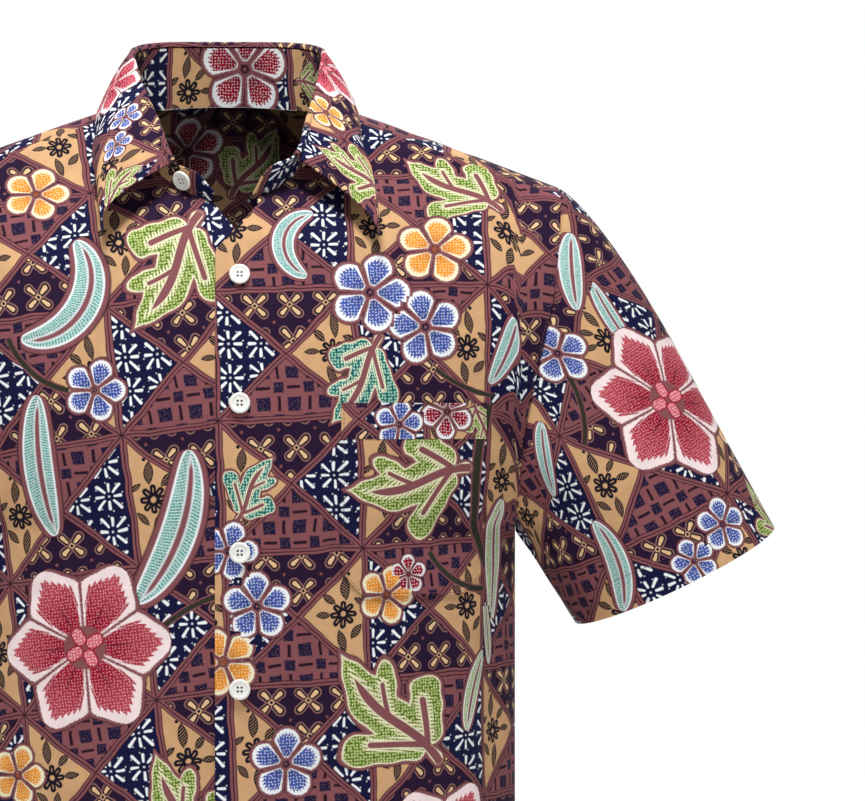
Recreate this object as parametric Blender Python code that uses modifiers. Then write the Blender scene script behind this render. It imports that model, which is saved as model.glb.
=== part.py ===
"""Batik shirt: a short-sleeved shirt with an open collar, filled out as if worn.

One shell of rows runs up the front, over the shoulders and down the back. The
fronts, the yoke and the back are stretches of it, the sleeves grow out of its
armholes, and the collar stands on its neckline. The pocket and the buttons are
placed from the points of the panel that they lie on.

Frame, in metres: X to the wearer's left, Y to the wearer's back, Z up, and the
origin between the shoulders at the foot of the neck.
"""

import math

import bmesh
import bpy
import numpy as np
from mathutils import Vector

OBJECT = "batik_shirt"

# Cloth and seams
CLOTH = 0.0012
COLLAR_CLOTH = 0.0016
SEAM = 0.0008
SIDE_GAP_TURN = 0.0028
STEP_BODY = 0.060
STEP_ARMHOLE = 0.028
NECK_ROWS = 6
COLUMNS_HALF = 11

# The body shell, from the front hem up, over the shoulder and down to the back hem.
# Each row is a section: its middle (z_mid, y_mid), its outer end (x_out, y_out,
# z_out) on the side seam or armhole, and how far it turns round the side, degrees.
SHELL_COLUMNS = ("z_mid", "y_mid", "z_out", "x_out", "y_out", "turn")
SHELL = (
    ("front_hem", -0.740, -0.130, -0.740, 0.2070, -0.010, 90),
    ("front_waist", -0.500, -0.132, -0.500, 0.2060, -0.010, 90),
    ("front_ribs", -0.345, -0.135, -0.345, 0.2060, -0.010, 90),
    ("front_underarm", -0.302, -0.135, -0.302, 0.2060, -0.010, 90),
    ("front_armhole_base", -0.284, -0.135, -0.288, 0.2062, -0.038, 80),
    ("front_armhole_low", -0.235, -0.133, -0.245, 0.2080, -0.062, 68),
    ("front_chest", -0.166, -0.124, -0.187, 0.2190, -0.068, 56),
    ("front_collarbone", -0.105, -0.108, -0.137, 0.2304, -0.061, 45),
    ("front_neck_base", -0.071, -0.090, -0.110, 0.2343, -0.052, 38),
    ("front_neck_side", -0.033, -0.060, -0.084, 0.2371, -0.040, 28),
    ("front_yoke_seam", 0.009, -0.028, -0.064, 0.2385, -0.026, 20),
    ("ridge", 0.017, 0.000, -0.056, 0.2385, 0.000, 20),
    ("back_shoulder", 0.014, 0.034, -0.066, 0.2380, 0.026, 22),
    ("back_neck", 0.006, 0.068, -0.088, 0.2365, 0.045, 30),
    ("back_upper", -0.036, 0.087, -0.112, 0.2345, 0.055, 38),
    ("back_yoke_seam", -0.092, 0.102, -0.147, 0.2290, 0.061, 46),
    ("back_blade", -0.160, 0.113, -0.192, 0.2180, 0.063, 57),
    ("back_armhole_low", -0.235, 0.118, -0.245, 0.2080, 0.052, 70),
    ("back_armhole_base", -0.284, 0.118, -0.288, 0.2062, 0.020, 81),
    ("back_underarm", -0.302, 0.118, -0.302, 0.2060, -0.010, 90),
    ("back_ribs", -0.345, 0.117, -0.345, 0.2060, -0.010, 90),
    ("back_waist", -0.500, 0.112, -0.500, 0.2060, -0.010, 90),
    ("back_hem", -0.740, 0.112, -0.740, 0.2070, -0.010, 90),
)
SHOULDER_ROUND = 0.25  # how softly a section bends over the middle of the neck

# Neckline, an oval in plan: its half width, and its reach forward and back
NECK_HALF = 0.077
NECK_FRONT = 0.090
NECK_BACK = 0.068
NECK_BASE_Z = -0.071
UNDERARM_Z = -0.302

# Front edges in each panel's own x, which grows from the centre to its side:
# (edge of the lap, z where it starts to open, x at the neckline)
FRONT_EDGES = {
    1: (-0.009, -0.105, 0.021),
    -1: (-0.025, -0.115, 0.010),
}
LAP_LIFT = 0.0022
LAP_FLAT = 0.034
LAP_END = 0.062

# Largest soft folds: (panel, x, x lower down, top z, bottom z, depth, half width)
FOLDS = (
    ("front", 1, 0.194, 0.188, -0.270, -0.600, 0.0050, 0.011),
    ("front", -1, 0.188, 0.180, -0.300, -0.680, 0.0050, 0.014),
    ("back", 1, 0.150, 0.136, -0.190, -0.580, 0.0060, 0.022),
    ("back", -1, 0.162, 0.146, -0.230, -0.660, 0.0055, 0.020),
)

# Sleeve: the cuff is an oval, and the tube leaves the armhole along its pulls
CUFF_MIDDLE = (0.3220, -0.004, -0.3345)
CUFF_WIDE = (0.0720, 0.0, 0.0344)
CUFF_DEEP = 0.056
CUFF_DIP = 0.007
SLEEVE_START = 0.0018
SLEEVE_PULL_TOP = (0.130, 0.0, -0.078)
SLEEVE_PULL_UNDER = (0.040, 0.0, -0.062)
SLEEVE_PULL_CUFF = (0.128, 0.0, -0.222)
SLEEVE_RINGS = 8
SLEEVE_STEPS_HALF = 11

# Collar: stations round the neck by their angle from the centre back. Each gives
# the top of the stand, and the leaf's edge as x, run over the shell from the
# ridge (back is plus) and height off the shell.
COLLAR_COLUMNS = ("angle", "x", "y", "z", "edge_x", "edge_run", "edge_lift")
COLLAR = (
    (0, 0.0000, 0.0640, 0.0490, 0.000, 0.068, 0.010),
    (32, 0.0390, 0.0565, 0.0483, 0.050, 0.064, 0.010),
    (60, 0.0630, 0.0340, 0.0440, 0.0745, 0.042, 0.006),
    (82, 0.0690, 0.0100, 0.0372, 0.0850, 0.012, 0.005),
    (105, 0.0650, -0.0200, 0.0150, 0.0915, -0.034, 0.008),
    (130, 0.0535, -0.0580, -0.0140, 0.0938, -0.076, 0.015),
    (153, 0.0422, -0.0870, -0.0410, 0.0921, -0.126, 0.018),
)
LEAF_SKEW = 0.0083
LEAF_SKEW_FROM = 118
COLLAR_SLIDE = 0.0043
COLLAR_TILT = 0.0024
COLLAR_SLIDE_FROM = 82
STAND_FRONT = (
    (163, 0.0275, -0.0940, -0.0475),
    (171, 0.0160, -0.0945, -0.0600),
)
STAND_END = {1: 168, -1: 172}
LEAF_OFF = 0.0034
LEAF_CROWN = 0.0032
LEAF_ROLL = 0.0014
LEAF_SWELL = 0.0040
LEAF_SWELL_FRONT = 0.0140
LEAF_ARCH = 0.0035
LEAF_ARCH_FROM = 100
LEAF_STATIONS = 32
LEAF_ROWS = 4
STAND_OFF = 0.0016
STAND_STATIONS = 34

# Pocket on the wearer's left front, from x to x and z to z, with clipped corners
POCKET_X = (0.078, 0.180)
POCKET_Z = (-0.345, -0.211)
POCKET_CLIP = 0.016
POCKET_OFF = 0.0024
POCKET_CLOTH = 0.0010
POCKET_ROWS = 6
POCKET_COLUMNS = 8

# Buttons
BUTTON_X = 0.008
BUTTON_Z = (-0.122, -0.211, -0.314, -0.408, -0.503, -0.598)
BUTTON_RADIUS = 0.0073
BUTTON_THICK = 0.0026
BUTTON_RIM = 0.0013
BUTTON_DISH = 0.0007
BUTTON_HOLE = 0.0009
BUTTON_HOLE_AT = 0.0016
BUTTON_SIDES = 14
BUTTON_OFF = 0.0005
COLLAR_BUTTON_ANGLE = -157
COLLAR_BUTTON_UP = 0.42

COLOURS = {
    "cloth": (0.16, 0.06, 0.10, 1.0),
    "sleeve_cloth": (0.19, 0.08, 0.11, 1.0),
    "collar_cloth": (0.24, 0.10, 0.13, 1.0),
    "pocket_cloth": (0.30, 0.14, 0.12, 1.0),
    "button": (0.86, 0.85, 0.81, 1.0),
}


# ---- curves through the tables ----


def slopes(knots, values):
    """Slopes that pass through the values without overshooting between them."""
    secant = np.diff(values) / np.diff(knots)
    product = secant[:-1] * secant[1:]
    total = secant[:-1] + secant[1:]
    inner = np.where(product > 0, 2 * product / np.where(total == 0, 1, total), 0)
    return np.concatenate((secant[:1], inner, secant[-1:]))


def smooth(knots, values, at):
    """The value at each place on the smooth curve through (knots, values)."""
    slope = slopes(knots, values)
    i = np.clip(np.searchsorted(knots, at, side="right") - 1, 0, len(knots) - 2)
    span = knots[i + 1] - knots[i]
    t = (at - knots[i]) / span
    rise = values[i + 1] - values[i]
    leave = slope[i] * span - rise
    arrive = slope[i + 1] * span - rise
    return values[i] + t * rise + t * (1 - t) * ((1 - t) * leave - t * arrive)


def column(rows, number):
    return np.array([row[number] for row in rows], float)


SHELL_VALUES = {name: column(SHELL, n + 1) for n, name in enumerate(SHELL_COLUMNS)}


def shell_runs():
    """How far each shell row is from the front hem, over the cloth."""
    middle = np.hypot(np.diff(SHELL_VALUES["y_mid"]), np.diff(SHELL_VALUES["z_mid"]))
    outer = np.hypot(np.diff(SHELL_VALUES["y_out"]), np.diff(SHELL_VALUES["z_out"]))
    return np.concatenate(([0.0], np.cumsum((middle + outer) / 2)))


RUNS = shell_runs()
RUN_OF = {row[0]: run for row, run in zip(SHELL, RUNS)}


def section(run):
    """The shell's section values at each run."""
    values = {name: smooth(RUNS, column_values, run) for name, column_values in SHELL_VALUES.items()}
    values["turn"] = np.radians(np.minimum(values["turn"], 90))
    return values


def ease(t):
    t = np.clip(t, 0, 1)
    return t * t * (3 - 2 * t)


def droop(share):
    """How far a section has come down from its middle to its outer end, 0 to 1."""
    soft = SHOULDER_ROUND
    return (np.sqrt(share**2 + soft**2) - soft) / (math.hypot(1, soft) - soft)


def fold_depth(run, x, z, side):
    """How far the soft folds press the cloth in at each point."""
    depth = np.zeros(np.broadcast(run, x).shape)
    for face, fold_side, x_top, x_low, z_top, z_low, deep, half in FOLDS:
        if fold_side != side:
            continue
        on_face = (run < RUN_OF["ridge"]) == (face == "front")
        down = np.clip((z_top - z) / (z_top - z_low), 0, 1)
        across = (x - (x_top + (x_low - x_top) * down)) / half
        depth += on_face * deep * np.sin(math.pi * down) ** 0.7 * np.exp(-(across**2))
    return depth


def shell_angle(run, x):
    """The turn round the body at which a section reaches x."""
    row = section(run)
    return np.arcsin(np.clip(x / row["x_out"] * np.sin(row["turn"]), -1, 1))


def shell(run, angle, side):
    """Points of the shell at runs and turns, on the left (1) or right (-1) side."""
    row = section(run)
    share = np.sin(angle) / np.sin(row["turn"])
    round_in = (1 - np.cos(angle)) / (1 - np.cos(row["turn"]))
    x = row["x_out"] * share
    y = row["y_mid"] + (row["y_out"] - row["y_mid"]) * round_in
    z = row["z_mid"] + (row["z_out"] - row["z_mid"]) * droop(share)
    deep = fold_depth(run, x, z, side)
    facing = np.sign(row["y_mid"])
    x = x - deep * np.sin(angle)
    y = y - deep * np.cos(angle) * facing
    return np.stack(np.broadcast_arrays(side * x, y, z), -1)


def shell_xy(run, x, side):
    return shell(run, shell_angle(run, x), side)


def front_run(x, z):
    """The run at which the front of the shell passes height z at x."""
    runs = np.linspace(0, RUN_OF["front_yoke_seam"], 400)
    heights = shell_xy(runs, np.full(runs.shape, x), 1)[:, 2]
    return float(np.interp(z, heights, runs))


def neck_x(y_mid):
    reach = np.where(y_mid < 0, NECK_FRONT, NECK_BACK)
    return NECK_HALF * np.sqrt(np.clip(1 - (y_mid / reach) ** 2, 0, None))


def unit(vectors):
    return vectors / np.linalg.norm(vectors, axis=-1, keepdims=True)


def shell_normal(run, x, side):
    """The way out of the shell at runs and widths."""
    step = 0.001
    along = shell_xy(run + step, x, side) - shell_xy(run - step, x, side)
    across = shell_xy(run, x + step, side) - shell_xy(run, x - step, side)
    return unit(np.cross(across, along) * side)


# ---- meshes ----


def material(name):
    made = bpy.data.materials.get(name) or bpy.data.materials.new(name)
    made.use_nodes = True
    shader = made.node_tree.nodes["Principled BSDF"]
    shader.inputs["Base Color"].default_value = COLOURS[name]
    shader.inputs["Roughness"].default_value = 0.35 if name == "button" else 0.85
    return made


def place(name, mesh, slot):
    made = bpy.data.objects.new(name, mesh)
    bpy.data.collections[OBJECT].objects.link(made)
    if not mesh.materials:
        mesh.materials.append(material(slot))
    return made


def add_grid(bm, points, flip, closed):
    rows, columns = points.shape[:2]
    verts = [[bm.verts.new(p) for p in row] for row in points]
    for i in range(rows if closed else rows - 1):
        for j in range(columns - 1):
            after = (i + 1) % rows
            corners = [verts[i][j], verts[i][j + 1], verts[after][j + 1], verts[after][j]]
            bm.faces.new(corners[::-1] if flip else corners)


def cloth(name, grids, slot, thick=CLOTH, closed=False):
    """A wall of cloth inside one or more grids of points that meet.

    Each grid comes with True where its order would turn its faces inwards.
    """
    mesh = bpy.data.meshes.new(name)
    bm = bmesh.new()
    for points, flip in grids:
        add_grid(bm, points, flip, closed)
    bmesh.ops.remove_doubles(bm, verts=bm.verts, dist=1e-6)
    bmesh.ops.dissolve_degenerate(bm, edges=bm.edges, dist=1e-6)
    bm.to_mesh(mesh)
    bm.free()
    mesh.shade_smooth()
    made = place(name, mesh, slot)
    wall = made.modifiers.new("wall", "SOLIDIFY")
    wall.thickness = thick
    wall.offset = -1
    return made


# ---- body ----


def marks(first, last, step):
    """Runs from one named row to another, closer together above the underarm."""
    start, end = RUN_OF[first], RUN_OF[last]
    inner = RUNS[(RUNS > start) & (RUNS < end)]
    found = [start + SEAM / 2]
    for run in [*inner, end - SEAM / 2]:
        below = (section(found[-1])["z_out"] + section(run)["z_out"]) / 2 < UNDERARM_Z
        count = math.ceil((run - found[-1]) / (STEP_BODY if below else step) - 0.2)
        found += list(np.linspace(found[-1], run, max(count, 1) + 1)[1:])
    return np.array(found)


def neck_marks(first, last, count):
    """Runs between two named rows, spaced evenly round the oval of the neckline."""
    start, end = RUN_OF[first] + SEAM / 2, RUN_OF[last] - SEAM / 2
    runs = np.linspace(start, end, 200)
    y_mid = section(runs)["y_mid"]
    reach = -NECK_FRONT if y_mid[0] < 0 else NECK_BACK
    turns = np.arccos(np.clip(y_mid / reach, -1, 1))
    order = np.argsort(turns)
    return np.sort(np.interp(np.linspace(turns.min(), turns.max(), count), turns[order], runs[order]))


def panel(runs, inner_x, side, columns=COLUMNS_HALF):
    """Shell points from the inner edge to the side, spaced evenly in turn."""
    inner = shell_angle(runs, inner_x)
    outer = section(runs)["turn"] - SIDE_GAP_TURN
    share = np.linspace(0, 1, columns + 1)
    angles = inner[:, None] + (outer - inner)[:, None] * share
    return shell(np.repeat(runs[:, None], columns + 1, 1), angles, side)


def lift_lap(points):
    """Lifts the left front off the right one where they lap."""
    away = ease((LAP_END - points[..., 0]) / (LAP_END - LAP_FLAT))
    points[..., 1] -= LAP_LIFT * away
    return points


def front(name, side):
    lap, opens, top = FRONT_EDGES[side]
    low = marks("front_hem", "front_neck_base", STEP_ARMHOLE)
    runs = np.concatenate((low, neck_marks("front_neck_base", "front_yoke_seam", NECK_ROWS)))
    row = section(runs)
    edge = np.interp(row["z_mid"], (opens, NECK_BASE_Z), (lap, top))
    neckline = np.where(row["z_mid"] > NECK_BASE_Z, neck_x(row["y_mid"]), edge)
    points = panel(runs, np.maximum(edge, neckline), side)
    if side > 0:
        points = lift_lap(points)
    cloth(name, [(points, side < 0)], "cloth")


def back():
    runs = marks("back_yoke_seam", "back_hem", STEP_ARMHOLE)
    halves = [(panel(runs, np.zeros(runs.shape), side), side < 0) for side in (1, -1)]
    cloth("back", halves, "cloth")


def yoke():
    over = neck_marks("ridge", "back_neck", NECK_ROWS)
    front_part = np.linspace(RUN_OF["front_yoke_seam"] + SEAM / 2, RUN_OF["ridge"], 4)[:-1]
    below = marks("back_neck", "back_yoke_seam", STEP_ARMHOLE)
    runs = np.concatenate((front_part, over, below))
    row = section(runs)
    inner = np.where(runs < RUN_OF["back_neck"], neck_x(row["y_mid"]), 0)
    halves = [(panel(runs, inner, side), side < 0) for side in (1, -1)]
    cloth("yoke", halves, "cloth")


# ---- sleeves ----


def armhole(side):
    """The armhole, evenly spaced from the underarm up the front and down the back."""
    found = []
    for first, last in (("front_underarm", "ridge"), ("ridge", "back_underarm")):
        runs = np.linspace(RUN_OF[first], RUN_OF[last], 200)
        points = shell(runs, section(runs)["turn"], side)
        length = np.concatenate(([0], np.cumsum(np.linalg.norm(np.diff(points, axis=0), axis=1))))
        even = np.linspace(0, length[-1], SLEEVE_STEPS_HALF + 1)[:-1]
        found.append(np.stack([np.interp(even, length, points[:, k]) for k in range(3)], -1))
    return np.concatenate(found)


def blend(low, high, share):
    return np.array(low) + (np.array(high) - np.array(low)) * share[:, None]


def sleeve(name, side):
    mirror = np.array((side, 1, 1))
    start = armhole(side) * mirror
    ring = np.arange(2 * SLEEVE_STEPS_HALF) / (2 * SLEEVE_STEPS_HALF)
    height = (1 - np.cos(2 * math.pi * ring)) / 2
    turn = math.pi * (1 - 2 * ring)
    cuff = np.array(CUFF_MIDDLE) + np.cos(turn)[:, None] * np.array(CUFF_WIDE)
    cuff[:, 1] -= CUFF_DEEP * np.sin(turn)
    cuff[:, 2] -= CUFF_DIP * np.sin(turn)
    leave = blend(SLEEVE_PULL_UNDER, SLEEVE_PULL_TOP, height)
    arrive = blend(SLEEVE_PULL_UNDER, SLEEVE_PULL_CUFF, height)
    start = start + unit(leave) * SLEEVE_START
    t = np.linspace(0, 1, SLEEVE_RINGS)[None, :, None]
    points = (
        start[:, None] * (1 - t) ** 2 * (1 + 2 * t)
        + leave[:, None] * t * (1 - t) ** 2
        + cuff[:, None] * t**2 * (3 - 2 * t)
        - arrive[:, None] * t**2 * (1 - t)
    )
    cloth(name, [(points * mirror, side < 0)], "sleeve_cloth", closed=True)


# ---- collar ----


def collar_values(name, angles):
    """A collar column at signed angles round the neck, the left side being plus."""
    rows = [dict(zip(COLLAR_COLUMNS, row)) for row in COLLAR]
    if name in ("x", "y", "z"):
        rows += [dict(zip(COLLAR_COLUMNS, row)) for row in STAND_FRONT]
    knots = np.array([row["angle"] for row in rows], float)
    values = np.array([row[name] for row in rows], float)
    across = -1 if name in ("x", "edge_x") else 1
    knots = np.concatenate((-knots[:0:-1], knots))
    values = np.concatenate((across * values[:0:-1], values))
    return smooth(knots, values, angles)


def forward(angles, start):
    """0 up to an angle on each side, 1 at the leaf's front ends, and eased between."""
    return ease((np.abs(angles) - start) / (COLLAR[-1][0] - start))


def stand_top(angles):
    """The top of the stand, its front slid a little to the left side and tilted."""
    top = np.stack([collar_values(name, angles) for name in ("x", "y", "z")], -1)
    top[:, 0] += COLLAR_SLIDE * forward(angles, COLLAR_SLIDE_FROM)
    top[:, 2] += COLLAR_TILT * forward(angles, COLLAR_SLIDE_FROM) * np.where(angles < 0, -1, 1)
    return top


def stations(start, end, count):
    """Angles round the neck between two ends, evenly spaced along the top of the stand."""
    angles = np.linspace(start, end, 300)
    top = stand_top(angles)
    length = np.concatenate(([0], np.cumsum(np.linalg.norm(np.diff(top, axis=0), axis=1))))
    return np.interp(np.linspace(0, length[-1], count), length, angles)


def stand_lines(angles):
    """The foot and the top of the stand, the way over its top and its way out."""
    reach = np.where(np.abs(angles) > 90, NECK_FRONT, NECK_BACK)
    y_mid = reach * np.cos(np.radians(angles))
    runs = np.linspace(RUN_OF["front_neck_base"], RUN_OF["back_neck"], 400)
    run = np.interp(y_mid, section(runs)["y_mid"], runs)
    side = np.where(angles < 0, -1, 1)
    foot = shell_xy(run, NECK_HALF * np.abs(np.sin(np.radians(angles))), 1)
    foot[:, 0] *= side
    top = stand_top(angles)
    up = unit(top - foot)
    along = unit(np.gradient(top, axis=0))
    out = unit(np.cross(up, along))
    return foot + up * STAND_OFF, top, np.cross(along, out), out


def collar_stand():
    angles = stations(-STAND_END[-1], STAND_END[1], STAND_STATIONS)
    foot, top, _, _ = stand_lines(angles)
    share = np.linspace(0, 1, 4)[None, :, None]
    points = foot[:, None] + (top - foot)[:, None] * share
    cloth("collar_stand", [(points, False)], "collar_cloth", thick=COLLAR_CLOTH)


def leaf_edge(angles):
    """The leaf's outer edge, lifted off the shell under it."""
    side = np.where(angles < 0, -1, 1)
    x = np.abs(collar_values("edge_x", angles)) + side * LEAF_SKEW * forward(angles, LEAF_SKEW_FROM)
    run = RUN_OF["ridge"] + collar_values("edge_run", angles)
    lift = collar_values("edge_lift", angles)[:, None]
    edge = shell_xy(run, x, 1) + shell_normal(run, x, 1) * lift
    edge[:, 0] *= side
    return edge


def collar_leaf():
    end = COLLAR[-1][0]
    angles = stations(-end, end, LEAF_STATIONS)
    _, top, over, out = stand_lines(angles)
    edge = leaf_edge(angles)
    crown = top + over * LEAF_CROWN - out * COLLAR_CLOTH
    fold = top + over * LEAF_ROLL + out * LEAF_OFF
    share = np.linspace(0, 1, LEAF_ROWS + 1)[1:, None, None]
    bow = 4 * share * (1 - share)
    front = forward(angles, LEAF_ARCH_FROM)[:, None]
    fall = fold + (edge - fold) * share + out * (LEAF_SWELL + LEAF_SWELL_FRONT * front) * bow
    backward = unit(np.gradient(fall, axis=1)) * np.where(angles < 0, 1, -1)[:, None]
    fall = fall + backward * LEAF_ARCH * front * bow
    points = np.concatenate((crown[None], fold[None], fall)).transpose(1, 0, 2)
    cloth("collar_leaf", [(points, True)], "collar_cloth", thick=COLLAR_CLOTH)


# ---- pocket and buttons ----


def on_left_front(x, z, off):
    """A point off the left front, and the way out of it."""
    run = np.array([front_run(x, z)])
    point = lift_lap(shell_xy(run, np.array([x]), 1))[0]
    out = shell_normal(run, np.array([x]), 1)[0]
    return point + out * off, out


def pocket():
    low, high = POCKET_Z
    heights = [low, *np.linspace(low + POCKET_CLIP, high, POCKET_ROWS)]
    points = []
    for z in heights:
        inset = POCKET_CLIP if z == low else 0
        widths = np.linspace(POCKET_X[0] + inset, POCKET_X[1] - inset, POCKET_COLUMNS + 1)
        points.append([on_left_front(x, z, POCKET_OFF)[0] for x in widths])
    cloth("pocket", [(np.array(points), False)], "pocket_cloth", thick=POCKET_CLOTH)


def button_mesh():
    """A dished disc with a raised rim and four holes, its back on z = 0."""
    r, t = BUTTON_RADIUS, BUTTON_THICK
    profile = (
        (0, t - BUTTON_DISH),
        (r - 2 * BUTTON_RIM, t - BUTTON_DISH),
        (r - BUTTON_RIM, t),
        (r - 0.4 * BUTTON_RIM, t),
        (r, 0.6 * t),
        (r - 0.8 * BUTTON_RIM, 0),
        (0, 0),
    )
    outline = bpy.data.meshes.new("button_profile")
    edges = [(i, i + 1) for i in range(len(profile) - 1)]
    outline.from_pydata([(x, 0, z) for x, z in profile], edges, [])
    disc = place("button_disc", outline, "button")
    turned = disc.modifiers.new("turned", "SCREW")
    turned.steps = BUTTON_SIDES
    turned.render_steps = BUTTON_SIDES
    turned.use_merge_vertices = True
    turned.merge_threshold = 0.00001
    holes = bpy.data.meshes.new("button_holes")
    bm = bmesh.new()
    for quarter in range(4):
        at = math.radians(45 + 90 * quarter)
        made = bmesh.ops.create_cone(
            bm, cap_ends=True, segments=4, radius1=BUTTON_HOLE, radius2=BUTTON_HOLE, depth=4 * t
        )
        shift = (BUTTON_HOLE_AT * math.cos(at), BUTTON_HOLE_AT * math.sin(at), 0)
        bmesh.ops.translate(bm, verts=made["verts"], vec=shift)
    bm.to_mesh(holes)
    bm.free()
    cutter = bpy.data.objects.new("button_holes", holes)
    bpy.data.collections["cutters"].objects.link(cutter)
    cut = disc.modifiers.new("holes", "BOOLEAN")
    cut.object = cutter
    bpy.context.view_layer.update()
    whole = disc.evaluated_get(bpy.context.evaluated_depsgraph_get())
    mesh = bpy.data.meshes.new_from_object(whole)
    mesh.name = "button"
    bpy.data.objects.remove(disc)
    bpy.data.objects.remove(cutter)
    return mesh


def buttons():
    mesh = button_mesh()
    for number, z in enumerate(BUTTON_Z, 1):
        point, out = on_left_front(BUTTON_X, z, BUTTON_OFF)
        set_button(f"button_{number}", mesh, point, out)
    angles = COLLAR_BUTTON_ANGLE + np.linspace(-1, 1, 3)
    foot, top, _, out = stand_lines(angles)
    point = foot[1] + (top[1] - foot[1]) * COLLAR_BUTTON_UP + out[1] * BUTTON_OFF
    set_button("button_collar", mesh, point, out[1])


def set_button(name, mesh, point, out):
    made = place(name, mesh, "button")
    made.location = point
    made.rotation_mode = "QUATERNION"
    made.rotation_quaternion = Vector(out).to_track_quat("Z", "Y")


def build():
    for old in list(bpy.data.objects):
        bpy.data.objects.remove(old, do_unlink=True)
    for name in (OBJECT, "cutters"):
        bpy.context.scene.collection.children.link(bpy.data.collections.new(name))
    front("front_left", 1)
    front("front_right", -1)
    back()
    yoke()
    sleeve("sleeve_left", 1)
    sleeve("sleeve_right", -1)
    collar_stand()
    collar_leaf()
    pocket()
    buttons()


build()
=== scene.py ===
"""Looks of the batik shirt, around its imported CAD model.

Every panel is a thin wall of cloth on the form of its CAD solid, with a finer
grid, soft creases and hems. One cloth material draws the print: a patchwork
ground in the cut's own metres, and flowers, leaves, crescents and stems at the
places that each panel's table gives. Lengths are in metres and turns in degrees.
"""

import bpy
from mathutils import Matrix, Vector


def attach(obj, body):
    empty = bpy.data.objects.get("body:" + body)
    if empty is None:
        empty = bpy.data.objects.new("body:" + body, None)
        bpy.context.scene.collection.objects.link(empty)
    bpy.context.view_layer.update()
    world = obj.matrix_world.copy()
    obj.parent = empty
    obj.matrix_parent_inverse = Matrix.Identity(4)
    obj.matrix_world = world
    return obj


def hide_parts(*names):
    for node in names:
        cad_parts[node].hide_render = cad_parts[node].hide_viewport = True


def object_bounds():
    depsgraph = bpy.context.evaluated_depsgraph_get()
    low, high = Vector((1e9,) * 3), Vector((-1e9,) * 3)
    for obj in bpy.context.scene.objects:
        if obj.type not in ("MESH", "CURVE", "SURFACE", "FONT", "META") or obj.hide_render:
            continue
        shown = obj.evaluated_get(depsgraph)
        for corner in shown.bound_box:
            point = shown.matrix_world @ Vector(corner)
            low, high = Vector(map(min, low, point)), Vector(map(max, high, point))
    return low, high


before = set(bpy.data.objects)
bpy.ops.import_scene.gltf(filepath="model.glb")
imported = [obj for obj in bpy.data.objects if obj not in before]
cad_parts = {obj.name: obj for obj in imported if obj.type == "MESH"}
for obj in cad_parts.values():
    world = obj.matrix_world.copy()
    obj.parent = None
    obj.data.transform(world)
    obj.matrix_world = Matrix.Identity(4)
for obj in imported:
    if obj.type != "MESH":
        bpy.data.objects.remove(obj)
cad_box = [list(corner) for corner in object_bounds()]

import functools
import math

import bpy
import numpy as np
from mathutils import Vector

# ---------------------------------------------------------------- the cut's form
# The same rows and sizes as the CAD source.

CLOTH = 0.0006
COLLAR_CLOTH = 0.0014
GRID = 0.0046
SEAM = 0.0003
SHARP_CLOTH = math.radians(50)

SHELL_COLUMNS = ("z_mid", "y_mid", "z_out", "x_out", "y_out", "turn")
SHELL = (
    ("front_hem", -0.740, -0.130, -0.740, 0.2070, -0.010, 90),
    ("front_waist", -0.500, -0.132, -0.500, 0.2060, -0.010, 90),
    ("front_ribs", -0.345, -0.135, -0.345, 0.2060, -0.010, 90),
    ("front_underarm", -0.302, -0.135, -0.302, 0.2060, -0.010, 90),
    ("front_armhole_base", -0.284, -0.135, -0.288, 0.2062, -0.038, 80),
    ("front_armhole_low", -0.235, -0.133, -0.245, 0.2080, -0.062, 68),
    ("front_chest", -0.166, -0.124, -0.187, 0.2190, -0.068, 56),
    ("front_collarbone", -0.105, -0.108, -0.137, 0.2304, -0.061, 45),
    ("front_neck_base", -0.071, -0.090, -0.110, 0.2343, -0.052, 38),
    ("front_neck_side", -0.033, -0.060, -0.084, 0.2371, -0.040, 28),
    ("front_yoke_seam", 0.009, -0.028, -0.064, 0.2385, -0.026, 20),
    ("ridge", 0.017, 0.000, -0.056, 0.2385, 0.000, 20),
    ("back_shoulder", 0.014, 0.034, -0.066, 0.2380, 0.026, 22),
    ("back_neck", 0.006, 0.068, -0.088, 0.2365, 0.045, 30),
    ("back_upper", -0.036, 0.087, -0.112, 0.2345, 0.055, 38),
    ("back_yoke_seam", -0.092, 0.102, -0.147, 0.2290, 0.061, 46),
    ("back_blade", -0.160, 0.113, -0.192, 0.2180, 0.063, 57),
    ("back_armhole_low", -0.235, 0.118, -0.245, 0.2080, 0.052, 70),
    ("back_armhole_base", -0.284, 0.118, -0.288, 0.2062, 0.020, 81),
    ("back_underarm", -0.302, 0.118, -0.302, 0.2060, -0.010, 90),
    ("back_ribs", -0.345, 0.117, -0.345, 0.2060, -0.010, 90),
    ("back_waist", -0.500, 0.112, -0.500, 0.2060, -0.010, 90),
    ("back_hem", -0.740, 0.112, -0.740, 0.2070, -0.010, 90),
)
SHOULDER_ROUND = 0.25
CREASE_FADE_TURN = 0.16
FRONT, BACK = -1, 1
SEARCH_STEPS = 400
NECK_HALF = 0.077
NECK_FRONT = 0.090
NECK_BACK = 0.068
NECK_BASE_Z = -0.071

FRONT_EDGES = {1: (-0.009, -0.105, 0.021), -1: (-0.025, -0.115, 0.010)}
LAP_LIFT = 0.0022
LAP_FLAT = 0.034
LAP_END = 0.062

# Soft folds down the cloth: (panel, side, x, x lower down, top z, bottom z, depth, half width)
FOLDS = (
    ("front", 1, 0.194, 0.188, -0.270, -0.600, 0.0050, 0.011),
    ("front", -1, 0.188, 0.180, -0.300, -0.680, 0.0050, 0.014),
    ("back", 1, 0.150, 0.136, -0.190, -0.580, 0.0060, 0.022),
    ("back", -1, 0.162, 0.146, -0.230, -0.660, 0.0055, 0.020),
)
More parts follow.
